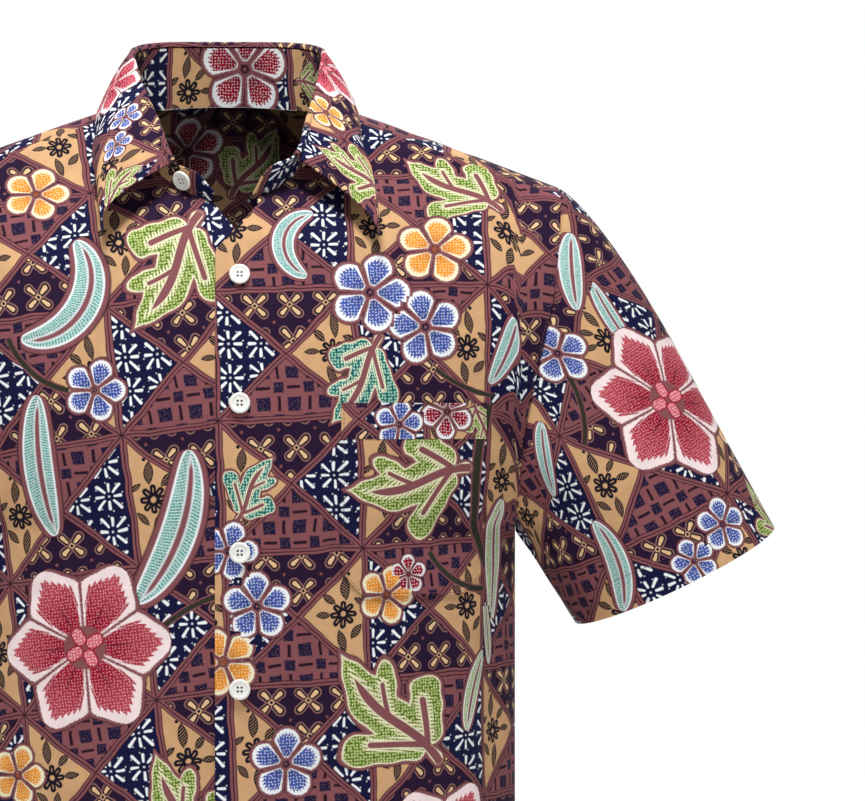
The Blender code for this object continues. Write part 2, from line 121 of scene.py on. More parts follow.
# Creases across it: (panel, side, x, z, x end, z end, depth, half width); minus is a ridge
CREASES = (
    ("front", 1, 0.200, -0.215, 0.128, -0.160, 0.0014, 0.008),
    ("front", 1, 0.202, -0.262, 0.140, -0.330, 0.0016, 0.009),
    ("front", 1, 0.203, -0.285, 0.165, -0.400, -0.0010, 0.007),
    ("front", 1, 0.060, -0.100, 0.120, -0.180, 0.0010, 0.014),
    ("front", 1, 0.012, -0.420, 0.095, -0.560, 0.0012, 0.016),
    ("front", -1, 0.200, -0.225, 0.120, -0.175, 0.0015, 0.009),
    ("front", -1, 0.203, -0.270, 0.150, -0.345, 0.0017, 0.010),
    ("front", -1, 0.050, -0.110, 0.110, -0.200, 0.0010, 0.013),
    ("front", -1, 0.030, -0.330, 0.100, -0.470, 0.0011, 0.015),
    ("back", 1, 0.195, -0.230, 0.120, -0.300, 0.0022, 0.012),
    ("back", 1, 0.060, -0.200, 0.095, -0.420, 0.0020, 0.018),
    ("back", 1, 0.020, -0.480, 0.060, -0.690, 0.0016, 0.020),
    ("back", -1, 0.190, -0.245, 0.110, -0.320, 0.0020, 0.011),
    ("back", -1, 0.040, -0.180, 0.070, -0.360, 0.0016, 0.016),
    ("back", -1, 0.090, -0.470, 0.120, -0.680, 0.0018, 0.022),
)

CUFF_MIDDLE = (0.3220, -0.004, -0.3345)
CUFF_WIDE = (0.0720, 0.0, 0.0344)
CUFF_DEEP = 0.056
CUFF_DIP = 0.007
SLEEVE_START = 0.0009
SLEEVE_PULL_TOP = (0.130, 0.0, -0.078)
SLEEVE_PULL_UNDER = (0.040, 0.0, -0.062)
SLEEVE_PULL_CUFF = (0.128, 0.0, -0.222)
SLEEVE_STEPS_HALF = 60
# Sleeve folds: (ring share, ring share at the far end, start and end along it, depth, half width)
SLEEVE_FOLDS = (
    (0.085, 0.150, 0.02, 0.60, 0.0050, 0.022),
    (0.140, 0.230, 0.05, 0.70, -0.0022, 0.022),
    (0.040, 0.060, 0.10, 0.90, 0.0030, 0.018),
    (0.330, 0.290, 0.05, 0.55, 0.0016, 0.020),
    (0.915, 0.850, 0.02, 0.65, 0.0045, 0.022),
    (0.860, 0.770, 0.05, 0.75, -0.0020, 0.022),
    (0.680, 0.700, 0.05, 0.60, 0.0016, 0.022),
)

COLLAR_COLUMNS = ("angle", "x", "y", "z", "edge_x", "edge_run", "edge_lift")
COLLAR = (
    (0, 0.0000, 0.0640, 0.0490, 0.000, 0.068, 0.010),
    (32, 0.0390, 0.0565, 0.0483, 0.050, 0.064, 0.010),
    (60, 0.0630, 0.0340, 0.0440, 0.0745, 0.042, 0.006),
    (82, 0.0690, 0.0100, 0.0372, 0.0850, 0.012, 0.005),
    (105, 0.0650, -0.0200, 0.0150, 0.0915, -0.034, 0.008),
    (130, 0.0535, -0.0580, -0.0140, 0.0938, -0.076, 0.015),
    (153, 0.0422, -0.0870, -0.0410, 0.0921, -0.126, 0.018),
)
LEAF_SKEW = 0.0083
LEAF_SKEW_FROM = 118
COLLAR_SLIDE = 0.0043
COLLAR_TILT = 0.0024
COLLAR_SLIDE_FROM = 82
STAND_FRONT = (
    (163, 0.0275, -0.0940, -0.0475),
    (171, 0.0160, -0.0945, -0.0600),
)
STAND_END = {1: 168, -1: 172}
LEAF_OFF = 0.0034
LEAF_SWELL = 0.0040
LEAF_SWELL_FRONT = 0.0140
LEAF_ARCH = 0.0035
LEAF_ARCH_FROM = 100
STAND_OFF = 0.0016

POCKET_X = (0.078, 0.180)
POCKET_Z = (-0.345, -0.211)
POCKET_CLIP = 0.016
POCKET_OFF = 0.0015
POCKET_BAND = 0.025
POCKET_BAND_OFF = 0.0018
POCKET_CLOTH = 0.0008
POCKET_ROWS = 5
POCKET_COLUMNS = 24

BUTTON_X = 0.008
BUTTON_Z = (-0.122, -0.211, -0.314, -0.408, -0.503, -0.598)
BUTTON_RADIUS = 0.0073
BUTTON_THICK = 0.0026
COLLAR_BUTTON_ANGLE = -157
COLLAR_BUTTON_UP = 0.42


def slopes(knots, values):
    """Slopes that pass through the values without overshooting between them."""
    secant = np.diff(values) / np.diff(knots)
    product = secant[:-1] * secant[1:]
    total = secant[:-1] + secant[1:]
    inner = np.where(product > 0, 2 * product / np.where(total == 0, 1, total), 0)
    return np.concatenate((secant[:1], inner, secant[-1:]))


def smooth(knots, values, at):
    """The value at each place on the smooth curve through (knots, values)."""
    slope = slopes(knots, values)
    i = np.clip(np.searchsorted(knots, at, side="right") - 1, 0, len(knots) - 2)
    span = knots[i + 1] - knots[i]
    t = (at - knots[i]) / span
    rise = values[i + 1] - values[i]
    leave = slope[i] * span - rise
    arrive = slope[i + 1] * span - rise
    return values[i] + t * rise + t * (1 - t) * ((1 - t) * leave - t * arrive)


def unit(vectors):
    return vectors / np.maximum(np.linalg.norm(vectors, axis=-1, keepdims=True), 1e-12)


def ease(t):
    t = np.clip(t, 0, 1)
    return t * t * (3 - 2 * t)


def lengths(points, axis=0):
    """Distance along a line of points, starting at 0."""
    steps = np.linalg.norm(np.diff(points, axis=axis), axis=-1)
    start = np.zeros_like(np.take(steps, [0], axis=axis))
    return np.concatenate((start, np.cumsum(steps, axis=axis)), axis=axis)


SHELL_VALUES = {
    name: np.array([row[n + 1] for row in SHELL], float) for n, name in enumerate(SHELL_COLUMNS)
}


def shell_runs():
    middle = np.hypot(np.diff(SHELL_VALUES["y_mid"]), np.diff(SHELL_VALUES["z_mid"]))
    outer = np.hypot(np.diff(SHELL_VALUES["y_out"]), np.diff(SHELL_VALUES["z_out"]))
    return np.concatenate(([0.0], np.cumsum((middle + outer) / 2)))


RUNS = shell_runs()
RUN_OF = {row[0]: run for row, run in zip(SHELL, RUNS)}


def section(run):
    values = {name: smooth(RUNS, rows, run) for name, rows in SHELL_VALUES.items()}
    values["turn"] = np.radians(np.minimum(values["turn"], 90))
    return values


def droop(share):
    soft = SHOULDER_ROUND
    return (np.sqrt(share**2 + soft**2) - soft) / (math.hypot(1, soft) - soft)


def fold_depth(run, x, z, side):
    """How far folds and creases press the cloth in at each point."""
    depth = np.zeros(np.broadcast(run, x).shape)
    front = run < RUN_OF["ridge"]
    for face, fold_side, x_top, x_low, z_top, z_low, deep, half in FOLDS:
        if fold_side == side:
            down = np.clip((z_top - z) / (z_top - z_low), 0, 1)
            across = (x - (x_top + (x_low - x_top) * down)) / half
            shown = front == (face == "front")
            depth += shown * deep * np.sin(math.pi * down) ** 0.7 * np.exp(-(across**2))
    for face, crease_side, x0, z0, x1, z1, deep, half in CREASES:
        if crease_side == side:
            dx, dz = x1 - x0, z1 - z0
            long = math.hypot(dx, dz)
            along = ((x - x0) * dx + (z - z0) * dz) / long**2
            across = ((x - x0) * dz - (z - z0) * dx) / long / half
            shown = front == (face == "front")
            fade = np.sin(math.pi * np.clip(along, 0, 1)) ** 1.2
            depth += shown * deep * fade * np.exp(-(across**2))
    return depth


def ripple(run, x, side):
    """Slow unevenness of hanging cloth, under a millimetre."""
    wave = np.sin(31 * x + 9 * run + side) * np.sin(17 * run - 11 * x + 2 * side)
    small = np.sin(83 * x - 27 * run + 3 * side) * np.sin(47 * run + 19 * x)
    return 0.0006 * wave + 0.00025 * small


def shell_angle(run, x):
    row = section(run)
    return np.arcsin(np.clip(x / row["x_out"] * np.sin(row["turn"]), -1, 1))


def shell(run, angle, side, creased=True):
    """Points of the shell at runs and turns, on the left (1) or right (-1) side."""
    row = section(run)
    share = np.sin(angle) / np.sin(row["turn"])
    round_in = (1 - np.cos(angle)) / (1 - np.cos(row["turn"]))
    x = row["x_out"] * share
    y = row["y_mid"] + (row["y_out"] - row["y_mid"]) * round_in
    z = row["z_mid"] + (row["z_out"] - row["z_mid"]) * droop(share)
    if creased:
        # creases fade out at side seams and armholes, which stay in line
        near_edge = ease((row["turn"] - angle) / CREASE_FADE_TURN)
        deep = (fold_depth(run, x, z, side) + ripple(run, x, side)) * near_edge
        x = x - deep * np.sin(angle)
        y = y - deep * np.cos(angle) * np.sign(row["y_mid"])
    return np.stack(np.broadcast_arrays(side * x, y, z), -1)


def shell_xy(run, x, side, creased=True):
    return shell(run, shell_angle(run, x), side, creased)


def neck_x(y_mid):
    reach = np.where(y_mid < 0, NECK_FRONT, NECK_BACK)
    return NECK_HALF * np.sqrt(np.clip(1 - (y_mid / reach) ** 2, 0, None))


def shell_normal(run, x, side):
    step = 0.002
    along = shell_xy(run + step, x, side) - shell_xy(run - step, x, side)
    across = shell_xy(run, x + step, side) - shell_xy(run, x - step, side)
    return unit(np.cross(across, along) * side)


def run_at(x, z, facing=FRONT):
    """The run at which the front or back of the shell passes height z at x."""
    first, last = ("front_hem", "front_yoke_seam") if facing == FRONT else ("ridge", "back_hem")
    runs = np.linspace(RUN_OF[first], RUN_OF[last], SEARCH_STEPS)
    heights = shell_xy(runs, np.full(runs.shape, x), 1, False)[:, 2]
    return float(np.interp(-z * facing, -heights * facing, runs))


# ---------------------------------------------------------------- the flat cut

CUT_X = np.linspace(0, SHELL_VALUES["x_out"].max(), 60)
CUT_RUNS = np.linspace(0, RUNS[-1], 500)


def cut_lengths():
    """Length up the cloth at constant width, for a grid of runs and widths."""
    run, x = np.meshgrid(CUT_RUNS, CUT_X, indexing="ij")
    return lengths(shell_xy(run, np.minimum(x, section(run)["x_out"]), 1, False))


CUT_UP = cut_lengths()


def cut_up(run, x):
    """How far up the cloth each point is, from the front hem, read at its own width."""
    i = np.clip(np.interp(run, CUT_RUNS, np.arange(len(CUT_RUNS))), 0, len(CUT_RUNS) - 1.001)
    j = np.clip(np.interp(np.abs(x), CUT_X, np.arange(len(CUT_X))), 0, len(CUT_X) - 1.001)
    i0, j0 = i.astype(int), j.astype(int)
    fi, fj = i - i0, j - j0
    low = CUT_UP[i0, j0] * (1 - fj) + CUT_UP[i0, j0 + 1] * fj
    high = CUT_UP[i0 + 1, j0] * (1 - fj) + CUT_UP[i0 + 1, j0 + 1] * fj
    return low * (1 - fi) + high * fi


def cut_round(run, angle):
    """How far round the cloth each point is, from the centre line."""
    share = np.linspace(0, 1, 33)
    shape = np.broadcast(run, angle).shape
    run = np.broadcast_to(run, shape)
    angles = np.broadcast_to(angle, shape)[..., None] * share
    points = shell(run[..., None], angles, 1, False)[..., :2]
    steps = np.linalg.norm(np.diff(points, axis=-2), axis=-1).sum(-1)
    return steps * np.sign(angle)


def cut_of(run, angle, side, start="front_hem"):
    """Places on the cloth laid flat: across from the centre, and up from a named line."""
    x = section(run)["x_out"] * np.sin(angle) / np.sin(section(run)["turn"])
    up = cut_up(run, x) - cut_up(np.full(x.shape, RUN_OF[start]), x)
    return np.stack(np.broadcast_arrays(side * cut_round(run, angle), up), -1)


def mirrored_down(cut):
    """The back's cut turned to read upright and the right way round from behind."""
    return cut * np.array((-1.0, -1.0))


def place_on(start, facing=FRONT):
    """Gives the cut's coordinates at a place on the front or back, x to the wearer's left."""

    def place(x, z):
        run = np.array([run_at(abs(x), z, facing)])
        found = cut_of(run, shell_angle(run, np.array([abs(x)])), math.copysign(1, x), start)[0]
        return found if facing == FRONT else mirrored_down(found)

    return place


# ---------------------------------------------------------------- motifs on the cut

FAR = 9.0
NEAR = 1.5
CURL_WIDTH = 0.22
STEM_WIDTH = 0.060
# What each name in a panel's table is drawn as, and the number of its dye
MOTIFS = {
    "lily": ("lily", 0),
    "blue_bloom": ("bloom", 0),
    "orange_bloom": ("bloom", 1),
    "red_bloom": ("bloom", 2),
    "lime_leaf": ("leaf", 0),
    "teal_leaf": ("leaf", 1),
    "teal_curl": ("curl", 0),
    "lime_curl": ("curl", 1),
    "stem": ("stem", 0),
}
KINDS = ("lily", "bloom", "leaf", "curl", "stem")


def laid_out(motifs, place):
    """A table's motifs, with their middles moved to places on the cut."""
    found = []
    for name, rows in motifs.items():
        kind, dye = MOTIFS[name]
        for x, z, size, turn, *bend in rows:
            found.append((kind, place(x, z), size, turn, bend[0] if bend else 0, dye))
    return found


def cell_at(ground, place):
    x, z, turn, column, row = ground
    return place(x, z), turn, column, row


def on_cut(u, w):
    """For a table that is in the cut's own coordinates."""
    return u, w


def turned_back(offset, turn):
    """Offsets on the cut, along and across an axis turned by some degrees."""
    c, s = math.cos(math.radians(turn)), math.sin(math.radians(turn))
    along = offset[..., 0] * c + offset[..., 1] * s
    return np.stack((along, offset[..., 1] * c - offset[..., 0] * s), -1)


def motif_fields(cut, motifs):
    """For each kind, each face corner's place on the nearest motif, and its dye."""
    fields = {kind: np.full((*cut.shape[:2], 3), FAR) for kind in KINDS}
    nearest = {kind: np.full(len(cut), NEAR) for kind in KINDS}
    for kind, centre, size, turn, bend, dye in motifs:
        at = turned_back((cut - np.array(centre)) / size, turn)
        if kind in ("curl", "stem"):
            width = CURL_WIDTH if kind == "curl" else STEM_WIDTH
            if bend:
                radius = 2 / math.radians(bend)
                turned = np.arctan2(at[..., 1], (radius - at[..., 0]) * math.copysign(1, radius))
                off = abs(radius) - np.hypot(radius - at[..., 0], at[..., 1])
                at = np.stack((turned * abs(radius), off * math.copysign(1, radius) / width), -1)
            else:
                at = np.stack((at[..., 1], at[..., 0] / width), -1)
            reach = np.maximum(np.abs(at[..., 0]), np.abs(at[..., 1]) / 1.8).mean(1)
        else:
            reach = np.linalg.norm(at, axis=-1).mean(1)
        mine = reach < nearest[kind]
        nearest[kind][mine] = reach[mine]
        fields[kind][mine, :, :2] = at[mine]
        fields[kind][mine, :, 2] = dye
    return fields


# ---------------------------------------------------------------- walls of cloth


def vertex_normals(points, faces):
    """Outward unit normals at the corners of quads, weighted by area."""
    a, b, c, d = (points[faces[:, corner]] for corner in range(4))
    across = np.cross(c - a, d - b)
    total = np.zeros_like(points)
    for corner in range(4):
        np.add.at(total, faces[:, corner], across)
    return unit(total)


def grid_faces(rows, columns, closed, split):
    """Quads of a grid, as places in it; none crosses the split between two columns."""
    i, j = np.meshgrid(np.arange(rows if closed else rows - 1), np.arange(columns - 1), indexing="ij")
    keep = j.ravel() != (-1 if split is None else split)
    i, j = i.ravel()[keep], j.ravel()[keep]
    corners = ((i, j), (i, j + 1), (i + 1, j + 1), (i + 1, j))
    return np.stack([row * columns + column for row, column in corners], -1)


def rim_edges(faces, places):
    """Edges that only one face has, with their places in the grid."""
    after = (1, 2, 3, 0)
    start, end = faces.ravel(), faces[:, after].ravel()
    open_edge = ~np.isin(start * 10**7 + end, end * 10**7 + start)
    found = (start, end, places.ravel(), places[:, after].ravel())
    return [values[open_edge] for values in found]


def wall(
    name, points, cut, motifs, ground, thick=CLOTH, closed=False, flip=False, split=None, lined=False
):
    """A thin closed wall of cloth under a grid of points, with its print's coordinates.

    cut is the grid laid flat, one row longer when closed. ground places the
    patchwork on it. split is a column that doesn't join the next one except where
    they touch, and a lined wall shows the print's right side on both faces.
    """
    rows, columns = points.shape[:2]
    places = grid_faces(rows, columns, closed, split)
    faces = places % (rows * columns)
    flat_points = points.reshape(-1, 3)
    if split is not None:
        twin = np.arange(len(flat_points)).reshape(rows, columns)
        touching = np.linalg.norm(points[:, split] - points[:, split + 1], axis=-1) < 1e-6
        twin[touching, split + 1] = twin[touching, split]
        faces = twin.ravel()[faces]
    if flip:
        faces, places = faces[:, ::-1], places[:, ::-1]
    normals = vertex_normals(flat_points, faces)
    depth = np.broadcast_to(thick, (rows, columns)).reshape(-1, 1)
    under = flat_points - normals * depth
    count = len(flat_points)
    a, b, place_a, place_b = rim_edges(faces, places)
    rims = np.stack((b, a, a + count, b + count), -1)
    rim_places = np.stack((place_b, place_a, place_a, place_b), -1)
    every = np.concatenate((faces, faces[:, ::-1] + count, rims))
    every_place = np.concatenate((places, places[:, ::-1], rim_places))
    inside = np.zeros(len(every))
    # inner faces of an unlined wall are marked for painted shade, along with the print's duller wrong
    # side
    inside[len(faces) : 2 * len(faces)] = 0 if lined else 1
    used, numbers = np.unique(every, return_inverse=True)
    mesh = bpy.data.meshes.new(name)
    verts = np.concatenate((flat_points, under))[used]
    mesh.from_pydata(verts, [], numbers.reshape(every.shape).tolist())
    at = cut.reshape(-1, 2)[every_place]
    inside = np.broadcast_to(inside[:, None, None], (*at.shape[:2], 1))
    write(mesh, "cut", np.concatenate((on_patchwork(at, *ground), inside), -1))
    for kind, field in motif_fields(at, motifs).items():
        write(mesh, kind, field)
    mesh.shade_smooth()
    mesh.set_sharp_from_angle(angle=SHARP_CLOTH)
    mesh.materials.append(cloth_material())
    return add(name, mesh), normals.reshape(points.shape)


def on_patchwork(cut, centre, turn, column, row):
    """Cut coordinates from the patchwork's own corner; centre is the middle of a cell."""
    corner = np.array(((column + 0.5) * CELL_WIDE, (row + 0.5) * CELL_HIGH))
    return turned_back(cut - np.array(centre), turn) + corner


def write(mesh, name, values):
    made = mesh.attributes.new(name, "FLOAT_VECTOR", "CORNER")
    made.data.foreach_set("vector", values.astype(np.float32).ravel())


def add(name, mesh):
    """An object of a mesh, on the shirt's one body."""
    made = bpy.data.objects.new(name, mesh)
    bpy.context.scene.collection.objects.link(made)
    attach(made, "root")
    return made


# ---------------------------------------------------------------- shader arithmetic


class Field:
    """A number in a node tree, with arithmetic that adds the nodes."""

    tree = None

    def __init__(self, socket):
        self.socket = socket

    def __add__(self, other):
        return op("ADD", self, other)

    def __radd__(self, other):
        return op("ADD", other, self)

    def __sub__(self, other):
        return op("SUBTRACT", self, other)

    def __rsub__(self, other):
        return op("SUBTRACT", other, self)

    def __mul__(self, other):
        return op("MULTIPLY", self, other)

    def __truediv__(self, other):
        return op("DIVIDE", self, other)

    def __gt__(self, other):
        return op("GREATER_THAN", self, other)

    def __lt__(self, other):
        return op("LESS_THAN", self, other)


def feed(socket, value):
    if isinstance(value, Field):
        Field.tree.links.new(value.socket, socket)
    else:
        socket.default_value = value


def op(kind, *values):
    node = Field.tree.nodes.new("ShaderNodeMath")
    node.operation = kind
    for socket, value in zip(node.inputs, values):
        feed(socket, value)
    return Field(node.outputs[0])


def low(a, b):
    return op("MINIMUM", a, b)


def high(a, b):
    return op("MAXIMUM", a, b)


def size_of(a):
    return op("ABSOLUTE", a)


def part_of(a):
    return op("FRACT", a)


def hypot(a, b):
    return op("SQRT", a * a + b * b)


def ramp(value, start, end):
    """0 below start, 1 above end, and straight between."""
    node = Field.tree.nodes.new("ShaderNodeMapRange")
    feed(node.inputs["Value"], value)
    node.inputs["From Min"].default_value = start
    node.inputs["From Max"].default_value = end
    return Field(node.outputs["Result"])


def step(value, width):
    """0 where value is negative and 1 where positive, over a soft edge."""
    return ramp(value, -width, width)


def ink(red, green, blue):
    """A dye's colour, from its usual 0 to 255 numbers, as the shader's own."""
    def straight(c):
        c /= 255
        return c / 12.92 if c <= 0.04045 else ((c + 0.055) / 1.055) ** 2.4
    return (straight(red), straight(green), straight(blue), 1.0)


def over(base, top, mask):
    """Colour top laid over colour base where mask is 1."""
    node = Field.tree.nodes.new("ShaderNodeMix")
    node.data_type = "RGBA"
    feed(node.inputs[0], mask)
    feed(node.inputs[6], base)
    feed(node.inputs[7], top)
    return Field(node.outputs[2])


def attribute(name):
    node = Field.tree.nodes.new("ShaderNodeAttribute")
    node.attribute_name = name
    split = Field.tree.nodes.new("ShaderNodeSeparateXYZ")
    Field.tree.links.new(node.outputs["Vector"], split.inputs[0])
    return [Field(split.outputs[n]) for n in range(3)]


def vector(x, y, z=0.0):
    node = Field.tree.nodes.new("ShaderNodeCombineXYZ")
    for socket, value in zip(node.inputs, (x, y, z)):
        feed(socket, value)
    return Field(node.outputs[0])


def noise(where, scale, detail=1.0):
    node = Field.tree.nodes.new("ShaderNodeTexNoise")
    node.noise_dimensions = "2D"
    feed(node.inputs["Vector"], where)
    node.inputs["Scale"].default_value = scale
    node.inputs["Detail"].default_value = detail
    return Field(node.outputs["Fac"]), Field(node.outputs["Color"])


def dots(where, scale):
    """Distance to the nearest of many scattered dots, 0 to about 0.7."""
    node = Field.tree.nodes.new("ShaderNodeTexVoronoi")
    node.voronoi_dimensions = "2D"
    feed(node.inputs["Vector"], where)
    node.inputs["Scale"].default_value = scale
    node.inputs["Randomness"].default_value = 0.45
    return Field(node.outputs["Distance"])


def petals(x, y, count, phase=0.5):
    """Folds a plane into one petal: how far out along it, and how far to its side."""
    turn = op("ARCTAN2", y, x)
    sector = 2 * math.pi / count
    folded = (part_of(turn / sector + phase) - 0.5) * sector
    reach = hypot(x, y)
    return reach * op("COSINE", folded), reach * op("SINE", folded)


def blade(x, y, at, turn, half_long, half_wide):
    """A pointed leaf: about how far inside its edge a point is."""
    c, s = math.cos(math.radians(turn)), math.sin(math.radians(turn))
    dx = x - at[0]
    dy = y - at[1]
    across = dx * c + dy * s
    along = (dy * c - dx * s) / half_long
    return (1.0 - along * along) * half_wide - size_of(across)


# ---------------------------------------------------------------- the print

CELL_WIDE = 0.098
CELL_HIGH = 0.0915
DIAGONAL = 1 / math.hypot(1 / CELL_WIDE, 1 / CELL_HIGH)
PLUM = ink(34, 10, 30)
MAUVE = ink(132, 78, 82)
NAVY = ink(8, 12, 56)
PURPLE = ink(34, 12, 44)
TAN = ink(206, 162, 118)
PALE_TAN = ink(228, 190, 142)
ROSE_TAN = ink(166, 118, 106)
DARK_BLUE = ink(22, 14, 52)
SOOT = ink(18, 14, 30)
WHITE = ink(238, 240, 242)
CREAM = ink(240, 232, 198)
LIME = ink(142, 168, 74)
MOSS = ink(84, 106, 34)
TEAL = ink(76, 162, 150)
DEEP_TEAL = ink(14, 84, 78)
BLUE = ink(66, 88, 164)
ORANGE = ink(232, 148, 44)
RUST = ink(150, 74, 22)
CRIMSON = ink(150, 14, 44)
ROSE = ink(214, 104, 116)
BLUSH = ink(238, 164, 172)
PALE_ROSE = ink(246, 226, 226)
OLIVE = ink(48, 48, 38)
# How the hand-drawn lines wander off the grid, how the dye varies on the cloth, and how far inner faces
# darken: painted shade plus a duller wrong side
DRIFT = 0.0035
DRIFT_SCALE = 42.0
SPECKLE_SCALE = 900.0
DOT_SCALE = 460.0
CLOUD_SCALE = 60.0
CLOUD_SHADE = 0.16
WRONG_SIDE_DULLING_AND_PAINTED_SHADE = 0.40
THREAD = 0.00042
DAISY_PITCH = 0.0235
CROSS_PITCH = 0.0250
SQUARE_PITCH = 0.0213


def lattice(u, w, pitch, shift_u=0.0, shift_w=0.0):
    """Coordinates round the nearest point of a square lattice."""
    return (part_of(u / pitch + shift_u) - 0.5) * pitch, (part_of(w / pitch + shift_w) - 0.5) * pitch


def capsule(along, across, start, end, half):
    """How far inside a stroke with round ends a point is."""
    middle, reach = (start + end) / 2, (end - start) / 2
    beyond = high(size_of(along - middle) - reach, 0.0)
    return half - hypot(beyond, across)


def dot_at(x, y, radius):
    return step(radius - hypot(x, y), 0.0003)


def daisies(u, w):
    """White eight-petalled stars on navy, with specks of white between them."""
    x, y = lattice(u, w, DAISY_PITCH, 0.12, 0.22)
    along, across = petals(x, y, 4)
    straight = capsule(along, across, 0.0040, 0.0086, 0.0008 + (along - 0.0040) * 0.06)
    along, across = petals(x, y, 4, 0.0)
    slanted = capsule(along, across, 0.0044, 0.0112, 0.0008 + (along - 0.0044) * 0.05)
    petal = step(high(straight, slanted), 0.0003)
    along, across = petals(x, y, 8, 0.25)
    spot = high(dot_at(along - 0.0104, across, 0.0005), dot_at(x, y, 0.0008))
    return over(over(NAVY, WHITE, spot * 0.75), WHITE, petal)


def crosses(u, w):
    """Tan four-petalled flowers on purple, each petal in a thin outline."""
    x, y = lattice(u, w, CROSS_PITCH, 0.35, 0.30)
    along, across = petals(x, y, 4, 0.0)
    petal = capsule(along, across, 0.0036, 0.0080, 0.0009 + (along - 0.0036) * 0.13)
    ring = step(0.0004 - size_of(petal + 0.0017), 0.0003)
    spot = dot_at(*lattice(u, w, CROSS_PITCH, 0.85, 0.80), 0.0011)
    colour = over(PURPLE, MAUVE, spot * 0.8)
    colour = over(colour, SOOT, step(petal + 0.0012, 0.0004) * 0.7)
    colour = over(colour, ROSE_TAN, ring * 0.75)
    colour = over(colour, PALE_TAN, step(petal, 0.0003))
    colour = over(colour, PALE_TAN, dot_at(x, y, 0.0019) * 0.8)
    return over(colour, SOOT, dot_at(x, y, 0.0011))


def squares(u, w, speckle):
    """Dark speckled squares on mauve, with short strokes between them."""
    x, y = lattice(u, w, SQUARE_PITCH)
    small_x, small_y = lattice(u, w, SQUARE_PITCH, 0.5, 0.5)
    block = step(0.0046 - high(size_of(x), size_of(y)), 0.0003)
    small = step(0.0036 - high(size_of(small_x), size_of(small_y)), 0.0003)
    flat_dash = step(low(0.0048 - size_of(x), 0.0010 - size_of(small_y)), 0.0003)
    tall_dash = step(low(0.0048 - size_of(y), 0.0011 - size_of(small_x)), 0.0003)
    colour = over(MAUVE, PLUM, high(flat_dash, tall_dash))
    dark = over(DARK_BLUE, ROSE_TAN, step(speckle - 0.66, 0.03) * 0.4)
    return over(colour, dark, high(block, small))


def sprig(x, y):
    """A black flower with leaves on tan; x points out from the cell's middle."""
    along, across = petals(x, y, 8)
    bloom = high(capsule(along, across, 0.0040, 0.0074, 0.0022), 0.0040 - hypot(x, y))
    hollow = capsule(along, across, 0.0046, 0.0070, 0.0003)
    leaf_a = blade(x, y, (0.0014, 0.0185), 6, 0.0090, 0.0034)
    leaf_b = blade(x, y, (-0.0014, -0.0180), 12, 0.0086, 0.0032)
    leaf_c = blade(x, y, (0.0092, -0.0128), -40, 0.0064, 0.0027)
    leaf_d = blade(x, y, (-0.0098, 0.0118), 46, 0.0060, 0.0027)
    leaf_e = blade(x, y, (0.0120, 0.0088), 60, 0.0052, 0.0023)
    leaf_f = blade(x, y, (-0.0145, 0.0005), 90, 0.0058, 0.0025)
    leaves = high(high(high(leaf_a, leaf_b), high(leaf_c, leaf_d)), high(leaf_e, leaf_f))
    buds = high(dot_at(x - 0.0035, y - 0.0285, 0.0013), dot_at(x + 0.0030, y + 0.0275, 0.0013))
    hatch = step(part_of((x * 0.8 + y) / 0.0019) - 0.74, 0.10) * step(leaves - 0.0008, 0.0003)
    colour = over(TAN, SOOT, high(step(high(bloom, leaves), 0.0003), buds))
    colour = over(over(colour, TAN, step(hollow, 0.0003)), TAN, hatch * 0.7)
    return over(colour, TAN, dot_at(x, y, 0.0018))


def ground(u, w, speckle):
    """The patchwork: cells cut into four triangles, each with its own filling."""
    across, up = u / CELL_WIDE, w / CELL_HIGH
    a, b = part_of(across), part_of(up)
    column = part_of(op("FLOOR", across) * 0.5) > 0.25
    row = part_of(op("FLOOR", up) * 0.5) > 0.25
    rise = b - a
    fall = a + b - 1.0
    upright = (rise * fall) > 0.0
    purple_side = size_of((rise > 0.0) - column)
    tan_side = size_of((fall > 0.0) - row)
    side = op("SIGN", fall)
    x = ((a - 0.5) * side - 0.333) * CELL_WIDE
    y = (b - 0.5) * CELL_HIGH
    standing = over(squares(u, w, speckle), crosses(u, w), purple_side)
    lying = over(daisies(u, w), sprig(x, y), tan_side)
    colour = over(lying, standing, upright)
    slanted = low(size_of(rise), size_of(fall)) * DIAGONAL
    straight = low(low(a, 1.0 - a) * CELL_WIDE, low(b, 1.0 - b) * CELL_HIGH)
    line = low(slanted, straight)
    colour = over(colour, PLUM, step(0.0027 - line, 0.0003))
    colour = over(colour, MAUVE, step(0.0021 - line, 0.0003))
    return over(colour, PLUM, step(0.0004 - line, 0.0003))


def halo(colour, inside, reach, soft):
    """A mauve band with a dark outer line round a motif, where inside is above 0."""
    colour = over(colour, PLUM, step(inside + reach * 1.25, soft))
    return over(colour, MAUVE, step(inside + reach, soft))


